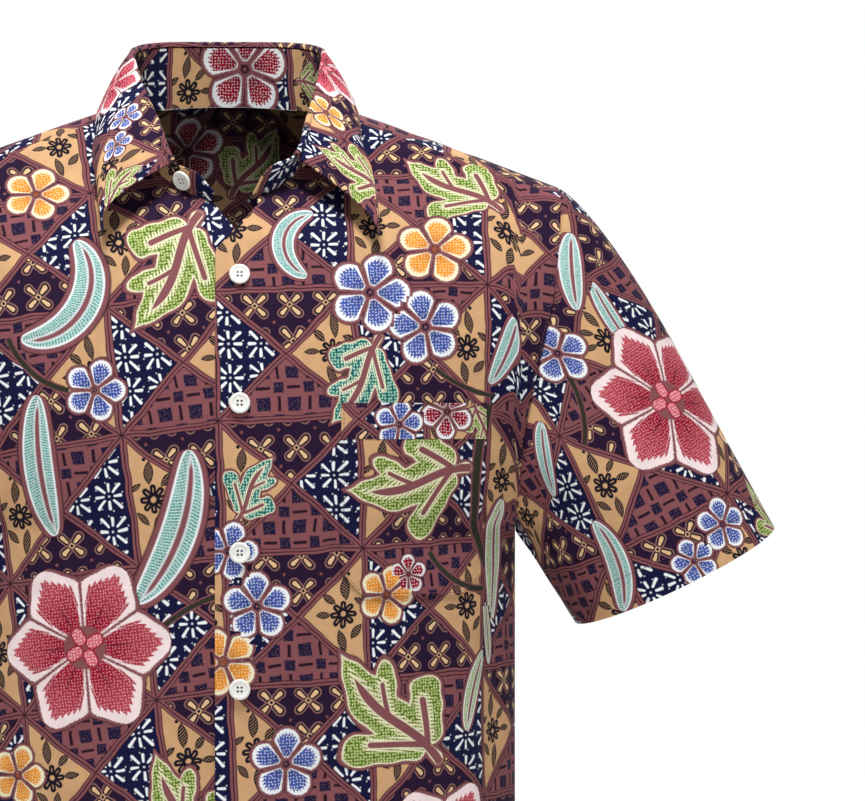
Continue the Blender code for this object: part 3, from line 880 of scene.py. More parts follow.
def lily(colour, dot, speckle):
    """Six pointed petals, crimson with pale dots, streaked out to white edges."""
    x, y, _ = attribute("lily")
    along, across = petals(x, y, 6)
    side = size_of(across)
    wide = op("POWER", along, 1.15) * high(1.04 - along, 0.0) * 1.42
    wave = op("SINE", along * 21.0) * 0.012
    inside = low(wide - side + wave, along * 0.56 - side - 0.012) - high(along - 0.99, 0.0) * 4.0
    inside = inside + (speckle - 0.5) * 0.035
    colour = halo(colour, inside, 0.050, 0.012)
    streak = size_of(part_of(op("ARCTAN2", across, along + 0.55) * 22.0) - 0.5) * 2.0
    margin = 0.022 + ramp(along, 0.45, 1.0) * 0.13 + streak * ramp(along, 0.25, 0.7) * 0.065
    tint = over(CRIMSON, ROSE, ramp(along, 0.35, 0.9) * 0.5)
    tint = over(tint, BLUSH, step(0.25 - dot, 0.05) * (0.45 + along * 0.4))
    tint = over(tint, PLUM, step(0.009 - side, 0.004) * (1.0 - ramp(along, 0.45, 0.6)) * 0.6)
    tint = over(tint, PALE_ROSE, step(margin - inside, 0.012))
    colour = over(colour, tint, step(inside, 0.008))
    core = hypot(x, y)
    colour = over(colour, MAUVE, step(0.25 - core, 0.012))
    inner_along, inner_across = petals(x, y, 4, 0.2)
    heart = capsule(inner_along, inner_across, 0.105, 0.175, 0.062)
    heart_tint = over(ROSE, PALE_ROSE, step(0.24 - dot, 0.06) * 0.8)
    colour = over(colour, CRIMSON, step(heart + 0.018, 0.006))
    return over(colour, heart_tint, step(heart, 0.006))


def bloom(colour, dot, speckle):
    """Five fan-shaped petals with mauve between them, streaked out to pale edges."""
    x, y, kind = attribute("bloom")
    along, across = petals(x, y, 5)
    side = size_of(across)
    crown = 0.97 - along * 0.30 - hypot(along * 0.62, side * 0.95) - high(0.09 - side, 0.0) * 0.9
    fan = (1.0 - hypot((along - 0.58) / 0.40, side / 0.36)) * 0.37
    inside = low(low(along * 0.66 - side - 0.060, crown), fan) + (speckle - 0.5) * 0.05
    colour = halo(colour, inside, 0.075, 0.02)
    dye = over(BLUE, ORANGE, kind > 0.5)
    dye = over(dye, CRIMSON, kind > 1.5)
    deep = over(NAVY, RUST, kind > 0.5)
    deep = over(deep, PLUM, kind > 1.5)
    pale = over(WHITE, CREAM, (kind > 0.5) * (1.0 - (kind > 1.5)))
    streak = size_of(part_of(op("ARCTAN2", across, along - 0.02) * 9.0) - 0.5) * 2.0
    margin = 0.022 + ramp(along, 0.55, 0.95) * 0.07 + streak * ramp(along, 0.30, 0.6) * 0.09
    tint = over(over(dye, deep, 0.55), dye, ramp(along, 0.20, 0.55))
    tint = over(tint, pale, step(0.24 - dot, 0.05) * (0.45 + ramp(along, 0.3, 0.8) * 0.35))
    tint = over(tint, pale, step(margin - inside, 0.02))
    colour = over(colour, tint, step(inside, 0.015))
    core = hypot(x, y)
    colour = over(colour, deep, step(0.085 - core, 0.02))
    return over(colour, MAUVE, step(0.040 - core, 0.02))


def lobe(x, y, start, end, half):
    """A round-ended lobe between two points: how far inside its edge a point is."""
    run, rise = end[0] - start[0], end[1] - start[1]
    long = math.hypot(run, rise)
    along = ((x - start[0]) * run + (y - start[1]) * rise) / long
    across = ((y - start[1]) * run - (x - start[0]) * rise) / long
    return capsule(along, across, 0.0, long, half)


def leaf(colour, dot, speckle):
    """A leaf of broad round lobes, scaled with pale dots, with wide mauve veins."""
    x, y, kind = attribute("leaf")
    x = x + op("SINE", y * 3.0 + 0.6) * 0.09
    main = blade(x, y, (0.02, 0.16), 0, 0.88, 0.30)
    left = lobe(x, y, (-0.12, -0.46), (-0.58, -0.02), 0.22)
    right = lobe(x, y, (0.14, -0.52), (0.60, -0.12), 0.20)
    upper = lobe(x, y, (0.10, 0.06), (0.42, 0.44), 0.14)
    foot = lobe(x, y, (0.0, -0.40), (0.0, -0.86), 0.07)
    lobes = high(high(main, left), high(high(right, upper), foot))
    wave = op("SINE", x * 13.0 + 1.0) * op("SINE", y * 12.0) * 0.024
    inside = lobes + wave + (speckle - 0.5) * 0.02
    rib = high(lobe(x, y, (0.0, -0.95), (0.02, 0.30), 0.055), blade(x, y, (0.02, 0.34), 0, 0.34, 0.055))
    rib = high(rib, lobe(x, y, (0.0, -0.62), (-0.42, -0.08), 0.038))
    rib = high(rib, lobe(x, y, (0.0, -0.66), (0.46, -0.18), 0.036))
    rib = high(rib, lobe(x, y, (0.02, 0.00), (0.28, 0.36), 0.026))
    colour = halo(colour, inside, 0.045, 0.010)
    dye = over(LIME, TEAL, kind > 0.5)
    deep = over(MOSS, DEEP_TEAL, kind > 0.5)
    tint = over(deep, dye, step(0.46 - dot, 0.10))
    tint = over(tint, CREAM, step(0.22 - dot, 0.06) * 0.75)
    tint = over(tint, CREAM, step(0.024 - inside, 0.008) * 0.9)
    blade_here = step(inside, 0.008)
    colour = over(colour, tint, blade_here)
    comb = step(part_of((x + y * 0.6) * 17.0) - 0.45, 0.15)
    colour = over(colour, CREAM, step(rib + 0.020 + comb * 0.055, 0.008) * blade_here * 0.85)
    return over(colour, MAUVE, step(rib + 0.004, 0.006) * blade_here)


def curl(colour, dot):
    """A crescent of two pale strands, hatched across, with a mauve vein between."""
    along, across, kind = attribute("curl")
    taper = op("POWER", high(1.0 - along * along, 0.0), 0.5)
    off = size_of(across)
    past = high(size_of(along) - 0.98, 0.0) * 9.0
    inside = taper - off - past
    gap = low(taper * 0.17, 0.86 - size_of(along)) - size_of(across - 0.10)
    colour = halo(colour, inside * 0.5, 0.15, 0.03)
    hatch = part_of(along * 26.0 + off * 1.6)
    dye = over(TEAL, LIME, kind > 0.5)
    deep = over(DEEP_TEAL, MOSS, kind > 0.5)
    tint = over(over(deep, dye, 0.75), dye, ramp(off, 0.25, 0.5))
    tint = over(tint, WHITE, step(0.34 - dot, 0.10) * 0.35)
    tint = over(tint, WHITE, step(hatch - 0.66, 0.12) * 0.6)
    tint = over(tint, WHITE, step(0.13 - inside, 0.04))
    colour = over(colour, tint, step(inside, 0.04))
    colour = over(colour, WHITE, step(gap + 0.11, 0.04) * 0.7 * step(inside, 0.04))
    return over(colour, MAUVE, step(gap, 0.05))


def stem(colour):
    along, across, _ = attribute("stem")
    inside = 1.0 - size_of(across)
    shown = step(inside, 0.2) * step(1.0 - size_of(along), 0.02)
    edge = step(inside + 0.5, 0.2) * step(1.0 - size_of(along), 0.02)
    return over(over(colour, MAUVE, edge), OLIVE, shown)


def new_material(name):
    """A new material, in whose tree the arithmetic now adds its nodes, and its shader."""
    made = bpy.data.materials.new(name)
    made.use_nodes = True
    Field.tree = made.node_tree
    return made, made.node_tree.nodes["Principled BSDF"]


@functools.cache
def mottled(name, scale, detail, dark, pale, roughness):
    """A material that drifts between two colours, in the object's own space."""
    made, shader = new_material(name)
    grain = made.node_tree.nodes.new("ShaderNodeTexNoise")
    where = made.node_tree.nodes.new("ShaderNodeTexCoord").outputs["Object"]
    feed(grain.inputs["Vector"], Field(where))
    grain.inputs["Scale"].default_value = scale
    grain.inputs["Detail"].default_value = detail
    feed(shader.inputs["Base Color"], over(dark, pale, Field(grain.outputs["Fac"])))
    shader.inputs["Roughness"].default_value = roughness
    return made


@functools.cache
def cloth_material():
    """Printed cotton: the print, its weave, and a faint sheen."""
    made, shader = new_material("printed_cotton")
    u, w, inside = attribute("cut")
    where = vector(u, w)
    speckle, _ = noise(where, SPECKLE_SCALE)
    _, drift = noise(where, DRIFT_SCALE)
    split = made.node_tree.nodes.new("ShaderNodeSeparateColor")
    feed(split.inputs[0], drift)
    shaken_u, shaken_w = (
        place + (Field(output) - 0.5) * DRIFT for place, output in zip((u, w), split.outputs)
    )
    dot = dots(where, DOT_SCALE)
    colour = ground(shaken_u, shaken_w, speckle)
    colour = stem(colour)
    colour = curl(colour, dot)
    colour = leaf(colour, dot, speckle)
    colour = bloom(colour, dot, speckle)
    colour = lily(colour, dot, speckle)
    cloud, _ = noise(where, CLOUD_SCALE, 3.0)
    # inner faces darken towards plum: painted shade of the garment's inside, plus the print's duller
    # wrong side; the clouds are random mottling of the dye
    colour = over(colour, PLUM, ramp(cloud, 0.35, 0.9) * CLOUD_SHADE + inside * WRONG_SIDE_DULLING_AND_PAINTED_SHADE)
    feed(shader.inputs["Base Color"], colour)
    shader.inputs["Roughness"].default_value = 0.82
    shader.inputs["Specular IOR Level"].default_value = 0.14
    shader.inputs["Sheen Weight"].default_value = 0.03
    shader.inputs["Sheen Roughness"].default_value = 0.5
    feed(shader.inputs["Normal"], weave(u, w))
    return made


def weave(u, w):
    """A plain weave's raised threads, as a normal."""
    turns = 2 * math.pi / THREAD
    over_under = op("SINE", u * turns) * op("SINE", w * turns)
    slub, _ = noise(vector(u * 0.3, w), SPECKLE_SCALE)
    bump = Field.tree.nodes.new("ShaderNodeBump")
    bump.inputs["Strength"].default_value = 0.25
    bump.inputs["Distance"].default_value = 0.00015
    feed(bump.inputs["Height"], over_under * 0.5 + slub)
    return Field(bump.outputs["Normal"])


# ---------------------------------------------------------------- stitches

STITCH_LONG = 0.0021
STITCH_PITCH = 0.0029
STITCH_HALF = 0.00028
STITCH_HIGH = 0.00022
SEAM_STITCH = 0.0020
LINED_UP = 0.0022
COLLAR_STITCH = 0.0060
PATCH_STITCH = 0.0018
THREAD_DARK, THREAD_PALE = ink(74, 34, 44), ink(122, 66, 70)
threads = {}


def inset_line(points, normals, distance, edge, start=0.0, end=1.0):
    """A line on a grid at a distance in from one of its edges, and its normals."""
    if edge in ("first_row", "last_row"):
        points, normals = points.swapaxes(0, 1), normals.swapaxes(0, 1)
    if edge in ("last_column", "last_row"):
        points, normals = points[:, ::-1], normals[:, ::-1]
    far = lengths(points, 1)
    at = np.clip((far < distance).sum(1) - 1, 0, points.shape[1] - 2)
    line = np.arange(len(points))
    gap = np.maximum(far[line, at + 1] - far[line, at], 1e-9)
    share = ((distance - far[line, at]) / gap)[:, None]
    places = points[line, at] * (1 - share) + points[line, at + 1] * share
    facing = unit(normals[line, at] * (1 - share) + normals[line, at + 1] * share)
    first, last = round(start * (len(line) - 1)), round(end * (len(line) - 1))
    return places[first : last + 1], facing[first : last + 1]


def sew(panel, line, normals):
    """Adds a row of stitches on a panel along a line of points."""
    run = lengths(line)
    count = max(int(run[-1] / STITCH_PITCH), 1)
    starts = (np.arange(count) + 0.5) * run[-1] / count - STITCH_LONG / 2

    def read(values, at):
        return np.stack([np.interp(at, run, values[:, k]) for k in range(3)], -1)

    up = unit(read(normals, starts + STITCH_LONG / 2))
    ends = [read(line, starts + STITCH_LONG * share) for share in (0, 0.22, 0.78, 1)]
    side = unit(np.cross(ends[3] - ends[0], up))
    verts = [ends[0]]
    for middle in ends[1:3]:
        verts += [middle + side * STITCH_HALF, middle + up * STITCH_HIGH]
        verts += [middle - side * STITCH_HALF, middle - up * STITCH_HIGH]
    verts.append(ends[3])
    threads.setdefault(panel, []).append(np.stack(verts, 1))


STITCH_FACES = [(0, 2, 1), (0, 3, 2), (0, 4, 3), (0, 1, 4)]
STITCH_FACES += [(1, 2, 6, 5), (2, 3, 7, 6), (3, 4, 8, 7), (4, 1, 5, 8)]
STITCH_FACES += [(5, 6, 9), (6, 7, 9), (7, 8, 9), (8, 5, 9)]


def make_threads(panel):
    """One joined mesh of all the stitches on a panel."""
    stitches = np.concatenate(threads[panel])
    corners = stitches.shape[1]
    faces = [[n * corners + k for k in face] for n in range(len(stitches)) for face in STITCH_FACES]
    mesh = bpy.data.meshes.new(panel + "_stitches")
    mesh.from_pydata(stitches.reshape(-1, 3), [], faces)
    mesh.shade_smooth()
    mesh.materials.append(mottled("sewing_thread", 2400.0, 2.0, THREAD_DARK, THREAD_PALE, 0.7))
    return add(mesh.name, mesh)


# ---------------------------------------------------------------- body panels

HEM = 0.022
HEM_THICK = 0.0010
EDGE_THICK = 0.0010
EDGE_WIDE = 0.030
TUCK = 0.008
TUCK_DROP = 0.0013
SIDE_GAP_TURN = 0.0014
HALF_COLUMNS = 56
FRONT_NECK_ROWS = 34
BACK_NECK_ROWS = 30


def run_marks(first, last, spacing=GRID):
    """Even runs between two named rows of the shell."""
    start, end = RUN_OF[first] + SEAM / 2, RUN_OF[last] - SEAM / 2
    return np.linspace(start, end, math.ceil((end - start) / spacing) + 1)


def neck_marks(first, last, count):
    """Runs between two named rows, spaced evenly round the oval of the neckline."""
    start, end = RUN_OF[first] + SEAM / 2, RUN_OF[last] - SEAM / 2
    runs = np.linspace(start, end, SEARCH_STEPS)
    y_mid = section(runs)["y_mid"]
    reach = -NECK_FRONT if y_mid[0] < 0 else NECK_BACK
    turns = np.arccos(np.clip(y_mid / reach, -1, 1))
    order = np.argsort(turns)
    return np.sort(np.interp(np.linspace(turns.min(), turns.max(), count), turns[order], runs[order]))


def panel(runs, inner_x, side, start="front_hem", columns=HALF_COLUMNS):
    """Shell points and cut from the inner edge out to the side."""
    inner = shell_angle(runs, np.abs(inner_x)) * np.sign(inner_x)
    outer = section(runs)["turn"] - SIDE_GAP_TURN
    angles = inner[:, None] + (outer - inner)[:, None] * np.linspace(0, 1, columns + 1)
    run = np.repeat(runs[:, None], columns + 1, 1)
    return shell(run, angles, side), cut_of(run, angles, side, start)


def lift_lap(points):
    away = ease((LAP_END - points[..., 0]) / (LAP_END - LAP_FLAT))
    points[..., 1] -= LAP_LIFT * away
    return points


def tucked(points, cut, run, first):
    """Adds a seam allowance that drops under the next panel, before or after the grid."""
    if first:
        points, cut = points[::-1], cut[::-1]
    x = points[-1, :, 0]
    out = shell_normal(np.full(x.shape, run), np.abs(x), 1)
    out[:, 0] *= np.sign(x)
    away = unit(points[-1] - points[-2])
    dropped = points[-1] - out * TUCK_DROP
    points = np.concatenate((points, dropped[None], (dropped + away * TUCK)[None]))
    on = unit(cut[-1] - cut[-2])
    cut = np.concatenate((cut, (cut[-1] + on * TUCK_DROP)[None], (cut[-1] + on * TUCK)[None]))
    return (points[::-1], cut[::-1]) if first else (points, cut)


def hem_thick(cut, edge_near):
    """Cloth is doubled at the hem and along a front edge."""
    hem = ease((HEM - cut[..., 1]) / 0.002) * HEM_THICK
    edge = ease((EDGE_WIDE - edge_near) / 0.002) * EDGE_THICK
    return CLOTH + np.maximum(hem, edge)


def front(name, side, motifs, ground):
    low = run_marks("front_hem", "front_neck_base")
    runs = np.concatenate((low, neck_marks("front_neck_base", "front_yoke_seam", FRONT_NECK_ROWS)))
    row = section(runs)
    lap, opens, top = FRONT_EDGES[side]
    edge = np.interp(row["z_mid"], (opens, NECK_BASE_Z), (lap, top))
    neckline = np.where(row["z_mid"] > NECK_BASE_Z, neck_x(row["y_mid"]), edge)
    points, cut = panel(runs, np.maximum(edge, neckline), side)
    if side > 0:
        points = lift_lap(points)
    thick = hem_thick(cut, lengths(points, 1))
    thick = np.concatenate((thick, thick[-2:]))
    sewn = points
    points, cut = tucked(points, cut, runs[-1], False)
    place = place_on("front_hem")
    motifs, ground = laid_out(motifs, place), cell_at(ground, place)
    made, normals = wall(name, points, cut, motifs, ground, thick, flip=side < 0)
    normals = normals[:-2]
    # the armhole stitches stop at the underarm, where the seam leaves the body
    underarm = np.searchsorted(runs, RUN_OF["front_armhole_base"]) / (len(runs) - 1)
    sew(name, *inset_line(sewn, normals, HEM, "first_row"))
    sew(name, *inset_line(sewn, normals, SEAM_STITCH, "last_column", underarm, 1.0))
    return made


def back(motifs, ground):
    runs = run_marks("back_yoke_seam", "back_hem")
    zero = np.zeros(runs.shape)
    right, right_cut = panel(runs, zero, -1, "back_hem")
    left, left_cut = panel(runs, zero, 1, "back_hem")
    points = np.concatenate((right[:, :0:-1], left), 1)
    cut = np.concatenate((right_cut[:, :0:-1], left_cut), 1)
    thick = hem_thick(mirrored_down(cut), np.full(cut.shape[:2], FAR))
    thick = np.concatenate((thick[:2], thick))
    sewn = points
    points, cut = tucked(points, cut, runs[0], True)
    place = place_on("back_hem", BACK)
    motifs, ground = laid_out(motifs, place), cell_at(ground, place)
    made, normals = wall("back_cloth", points, mirrored_down(cut), motifs, ground, thick)
    normals = normals[2:]
    underarm = np.searchsorted(runs, RUN_OF["back_armhole_base"]) / (len(runs) - 1)
    sew("back_cloth", *inset_line(sewn, normals, HEM, "last_row"))
    for edge in ("first_column", "last_column"):
        sew("back_cloth", *inset_line(sewn, normals, SEAM_STITCH, edge, 0.0, underarm))
    return made


def yoke(motifs, ground):
    front_part = run_marks("front_yoke_seam", "ridge")[:-1]
    over_neck = neck_marks("ridge", "back_neck", BACK_NECK_ROWS)
    below = run_marks("back_neck", "back_yoke_seam")
    runs = np.concatenate((front_part, over_neck, below))
    inner = np.where(runs < RUN_OF["back_neck"], neck_x(section(runs)["y_mid"]), 0)
    right, right_cut = panel(runs, inner, -1, "ridge")
    left, left_cut = panel(runs, inner, 1, "ridge")
    points = np.concatenate((right[:, ::-1], left), 1)
    cut = mirrored_down(np.concatenate((right_cut[:, ::-1], left_cut), 1))
    place = place_on("ridge", BACK)
    motifs, ground = laid_out(motifs, place), cell_at(ground, place)
    made, normals = wall("yoke_cloth", points, cut, motifs, ground, split=HALF_COLUMNS)
    for edge in ("first_column", "last_column"):
        sew("yoke_cloth", *inset_line(points, normals, SEAM_STITCH, edge))
    for columns in (slice(0, HALF_COLUMNS + 1), slice(HALF_COLUMNS + 1, None)):
        for edge in ("first_row", "last_row"):
            line = inset_line(points[:, columns], normals[:, columns], LINED_UP, edge)
            sew("yoke_cloth", *line)
    return made


# ---------------------------------------------------------------- sleeves

SLEEVE_ROWS = 46
SLEEVE_TUCK_TURN = 0.035
SLEEVE_HEM = 0.024


def armhole(side, inset=0.0):
    """The armhole, evenly spaced from the underarm up the front and down the back."""
    found = []
    for first, last in (("front_underarm", "ridge"), ("ridge", "back_underarm")):
        runs = np.linspace(RUN_OF[first], RUN_OF[last], SEARCH_STEPS)
        rim = shell(runs, section(runs)["turn"], side, False)
        points = shell(runs, section(runs)["turn"] - inset, side, False)
        length = lengths(rim)
        even = np.linspace(0, length[-1], SLEEVE_STEPS_HALF + 1)[:-1]
        found.append(np.stack([np.interp(even, length, points[:, k]) for k in range(3)], -1))
    return np.concatenate(found)


def blend(low_value, high_value, share):
    return np.array(low_value) + (np.array(high_value) - np.array(low_value)) * share[:, None]


def sleeve_form(side):
    """The sleeve's grid, round and then along, and the same grid laid flat."""
    mirror = np.array((side, 1, 1))
    steps = 2 * SLEEVE_STEPS_HALF
    start = armhole(side) * mirror
    ring = np.arange(steps) / steps
    height = (1 - np.cos(2 * math.pi * ring)) / 2
    turn = math.pi * (1 - 2 * ring)
    cuff = np.array(CUFF_MIDDLE) + np.cos(turn)[:, None] * np.array(CUFF_WIDE)
    cuff[:, 1] -= CUFF_DEEP * np.sin(turn)
    cuff[:, 2] -= CUFF_DIP * np.sin(turn)
    leave = blend(SLEEVE_PULL_UNDER, SLEEVE_PULL_TOP, height)
    arrive = blend(SLEEVE_PULL_UNDER, SLEEVE_PULL_CUFF, height)
    start = start + unit(leave) * SLEEVE_START
    t = np.linspace(0, 1, SLEEVE_ROWS)[None, :, None]
    points = (
        start[:, None] * (1 - t) ** 2 * (1 + 2 * t)
        + leave[:, None] * t * (1 - t) ** 2
        + cuff[:, None] * t**2 * (3 - 2 * t)
        - arrive[:, None] * t**2 * (1 - t)
    )
    around = np.roll(points, -1, 0) - np.roll(points, 1, 0)
    out = unit(np.cross(np.gradient(points, axis=1), around))
    points = points - out * sleeve_press(points, ring, t[0, :, 0])[..., None]
    closed = np.concatenate((points, points[:1]))
    round_it = lengths(closed, 0)
    middle = len(ring) // 4
    up = lengths(closed[:, ::-1], 1)[:, ::-1]
    cut = np.stack(((round_it - round_it[middle]) * side, up), -1)
    return points * mirror, cut, out * mirror


def sleeve_press(points, ring, t):
    """How far creases and slow ripples press the sleeve in."""
    size = lengths(np.concatenate((points, points[:1])), 0)[-1]
    press = np.zeros(points.shape[:2])
    for ring_start, ring_end, start, end, depth, half in SLEEVE_FOLDS:
        along = np.clip((t - start) / (end - start), 0, 1)
        at = ring_start + (ring_end - ring_start) * along
        off = (ring[:, None] - at + 0.5) % 1 - 0.5
        press += depth * np.sin(math.pi * along) ** 0.8 * np.exp(-((off * size / half) ** 2))
    wave = np.sin(9 * math.pi * ring[:, None] + 5 * t) * np.sin(4 * t + 1)
    return press + 0.0007 * wave * np.sin(math.pi * t)


def nearest_on(points, cut, facing):
    """Gives the cut's coordinates where the front or back of a grid passes x and z."""

    def place(x, z):
        near = np.hypot(points[..., 0] - x, points[..., 2] - z)
        near = near + (points[..., 1] * facing < np.median(points[..., 1]) * facing) * FAR
        return cut[np.unravel_index(np.argmin(near), near.shape)]

    return place


def laid_round(tables, points, cut):
    """The motifs of a panel that has a front and a back, with a table for each."""
    front_table, back_table = tables
    found = laid_out(front_table, nearest_on(points, cut, FRONT))
    return found + laid_out(back_table, nearest_on(points, cut, BACK))


def sleeve(name, side, motifs, ground):
    points, cut, out = sleeve_form(side)
    motifs = laid_round(motifs, points, cut[:-1])
    ground = cell_at(ground, nearest_on(points, cut[:-1], FRONT))
    under = armhole(side, SLEEVE_TUCK_TURN) - out[:, 0] * TUCK_DROP
    dropped = points[:, 0] - out[:, 0] * TUCK_DROP
    points = np.concatenate((under[:, None], dropped[:, None], points), 1)
    head = cut[:, :1] + np.array((0.0, TUCK))
    cut = np.concatenate((head, cut[:, :1], cut), 1)
    thick = CLOTH + ease((SLEEVE_HEM - cut[:-1, :, 1]) / 0.002) * HEM_THICK
    made, normals = wall(name, points, cut, motifs, ground, thick, closed=True, flip=side < 0)
    closed = np.concatenate((points, points[:1]))
    closed_normals = np.concatenate((normals, normals[:1]))
    sew(name, *inset_line(closed, closed_normals, SLEEVE_HEM, "last_column"))
    return made


# ---------------------------------------------------------------- collar

STAND_STATIONS = 110
STAND_FOOT = 0.0015
STAND_ROWS = 9
LEAF_STATIONS = 120
LEAF_FALL = 18
LEAF_FOLD = 0.0014
# The roll over the stand: (how far over its top, how far out)
LEAF_ROLL = (
    (0.0012, -0.0016),
    (0.0030, -0.0014),
    (0.0043, -0.0004),
    (0.0048, 0.0010),
    (0.0042, 0.0024),
)


def collar_values(name, angles):
    rows = [dict(zip(COLLAR_COLUMNS, row)) for row in COLLAR]
    if name in ("x", "y", "z"):
        rows += [dict(zip(COLLAR_COLUMNS, row)) for row in STAND_FRONT]
    knots = np.array([row["angle"] for row in rows], float)
    values = np.array([row[name] for row in rows], float)
    across = -1 if name in ("x", "edge_x") else 1
    knots = np.concatenate((-knots[:0:-1], knots))
    values = np.concatenate((across * values[:0:-1], values))
    return smooth(knots, values, angles)


def forward(angles, start):
    """0 up to an angle on each side, 1 at the leaf's front ends, and eased between."""
    return ease((np.abs(angles) - start) / (COLLAR[-1][0] - start))


def stand_top(angles):
    """The top of the stand, its front slid a little to the left side and tilted."""
    top = np.stack([collar_values(name, angles) for name in ("x", "y", "z")], -1)
    top[:, 0] += COLLAR_SLIDE * forward(angles, COLLAR_SLIDE_FROM)
    top[:, 2] += COLLAR_TILT * forward(angles, COLLAR_SLIDE_FROM) * np.where(angles < 0, -1, 1)
    return top


def stations(start, end, count):
    """Angles round the neck, evenly spaced along the top of the stand."""
    angles = np.linspace(start, end, 600)
    top = stand_top(angles)
    length = lengths(top)
    return np.interp(np.linspace(0, length[-1], count), length, angles)


def stand_lines(angles):
    """The foot and the top of the stand, the way over its top and its way out."""
    reach = np.where(np.abs(angles) > 90, NECK_FRONT, NECK_BACK)
    y_mid = reach * np.cos(np.radians(angles))
    runs = np.linspace(RUN_OF["front_neck_base"], RUN_OF["back_neck"], SEARCH_STEPS)
    run = np.interp(y_mid, section(runs)["y_mid"], runs)
    foot = shell_xy(run, NECK_HALF * np.abs(np.sin(np.radians(angles))), 1, False)
    foot[:, 0] *= np.where(angles < 0, -1, 1)
    top = stand_top(angles)
    up = unit(top - foot)
    along = unit(np.gradient(top, axis=0))
    out = unit(np.cross(up, along))
    return foot + up * STAND_OFF, top, np.cross(along, out), out


def collar_stand(motifs, ground):
    angles = stations(-STAND_END[-1], STAND_END[1], STAND_STATIONS)
    foot, top, _, _ = stand_lines(angles)
    share = np.linspace(0, 1, STAND_ROWS)[None, :, None]
    points = foot[:, None] + (top - foot)[:, None] * share
    below = foot - unit(top - foot) * STAND_FOOT
    points = np.concatenate((below[:, None], points), 1)
    run = lengths(foot)
    run = run - np.interp(0, angles, run)
    cut = np.stack((np.broadcast_to(-run[:, None], points.shape[:2]), lengths(points, 1)), -1)
    motifs, ground = laid_out(motifs, on_cut), cell_at(ground, on_cut)
    name = "collar_stand_cloth"
    made, normals = wall(name, points, cut, motifs, ground, COLLAR_CLOTH, lined=True)
    sew(name, *inset_line(points, normals, STAND_FOOT + LINED_UP, "first_column"))
    return made


def leaf_edge(angles):
    side = np.where(angles < 0, -1, 1)
    skew = side * LEAF_SKEW * forward(angles, LEAF_SKEW_FROM)
    x = np.abs(collar_values("edge_x", angles)) + skew
    run = RUN_OF["ridge"] + collar_values("edge_run", angles)
    lift = collar_values("edge_lift", angles)[:, None]
    edge = shell_xy(run, x, 1, False) + shell_normal(run, x, 1) * lift
    edge[:, 0] *= side
    return edge


def collar_leaf(motifs, ground):
    end = COLLAR[-1][0]
    angles = stations(-end, end, LEAF_STATIONS)
    _, top, over_top, out = stand_lines(angles)
    edge = leaf_edge(angles)
    rows = [top + over_top * up + out * away for up, away in LEAF_ROLL]
    fold = top + over_top * LEAF_FOLD + out * LEAF_OFF
    share = np.linspace(0, 1, LEAF_FALL + 1)[:, None, None]
    bow = 4 * share * (1 - share)
    front = forward(angles, LEAF_ARCH_FROM)[:, None]
    fall = fold + (edge - fold) * share + out * (LEAF_SWELL + LEAF_SWELL_FRONT * front) * bow
    backward = unit(np.gradient(fall, axis=1)) * np.where(angles < 0, 1, -1)[:, None]
    fall = fall + backward * LEAF_ARCH * front * bow
    points = np.concatenate((np.stack(rows), fall)).transpose(1, 0, 2)
    run = lengths(points[:, len(LEAF_ROLL) + LEAF_FALL // 2])
    run = run - np.interp(0, angles, run)
    up = lengths(points[:, ::-1], 1)[:, ::-1]
    cut = np.stack((np.broadcast_to(-run[:, None], up.shape), up), -1)
    motifs, ground = laid_round(motifs, points, cut), cell_at(ground, on_cut)
    name = "collar_leaf_cloth"
    made, normals = wall(name, points, cut, motifs, ground, COLLAR_CLOTH, flip=True, lined=True)
    sew(name, *inset_line(points, normals, COLLAR_STITCH, "last_column", 0.03, 0.97))
    for edge in ("first_row", "last_row"):
        sew(name, *inset_line(points, normals, COLLAR_STITCH, edge, 0.25, 0.78))
    return made


# ---------------------------------------------------------------- pocket


def on_left_front(x, z, off):
    """Points off the left front, at x and z."""
    run = np.vectorize(run_at)(x, z)
    return lift_lap(shell_xy(run, x, 1)) + shell_normal(run, x, 1) * off, run


def pocket_part(name, low, high, off, motifs, ground, clip):
    """A patch between two heights, its lower corners cut off by a clip."""
    z = np.linspace(low, high, max(round((high - low) / GRID), POCKET_ROWS))
    inset = np.clip(clip - (z - low), 0, None)
    share = np.linspace(0, 1, POCKET_COLUMNS)
    x = POCKET_X[0] + inset[:, None] + (POCKET_X[1] - POCKET_X[0] - 2 * inset[:, None]) * share
    points, run = on_left_front(x, np.broadcast_to(z[:, None], x.shape), off)
    cut = cut_of(run, shell_angle(run, x), 1)
    place = place_on("front_hem")
    motifs, ground = laid_out(motifs, place), cell_at(ground, place)
    made, normals = wall(name, points, cut, motifs, ground, POCKET_CLOTH)
    for edge in ("first_column", "last_column", "first_row")[: 3 if clip else 2]:
        sew(name, *inset_line(points, normals, PATCH_STITCH, edge))
    return made


# ---------------------------------------------------------------- buttons

# Half a button's outline: (share of its radius, share of its thickness)
BUTTON_PROFILE = (
    (0.0, 0.78), (0.50, 0.78), (0.62, 0.80), (0.70, 0.90), (0.78, 1.0), (0.88, 1.0),
    (0.96, 0.88), (1.0, 0.62), (0.98, 0.35), (0.90, 0.10), (0.80, 0.0), (0.0, 0.0),
)
BUTTON_SIDES = 48
HOLE_RADIUS = 0.00085
HOLE_AT = 0.0019
HOLE_SIDES = 14
DRILL_LONG = 0.01
BUTTON_OFF = 0.0004
SHARP_BUTTON = math.radians(40)


def button_material():
    made = mottled("button_resin", 260.0, 3.0, ink(226, 224, 216), ink(246, 246, 242), 0.28)
    shader = made.node_tree.nodes["Principled BSDF"]
    shader.inputs["Subsurface Weight"].default_value = 0.15
    shader.inputs["Subsurface Scale"].default_value = 0.002
    return made


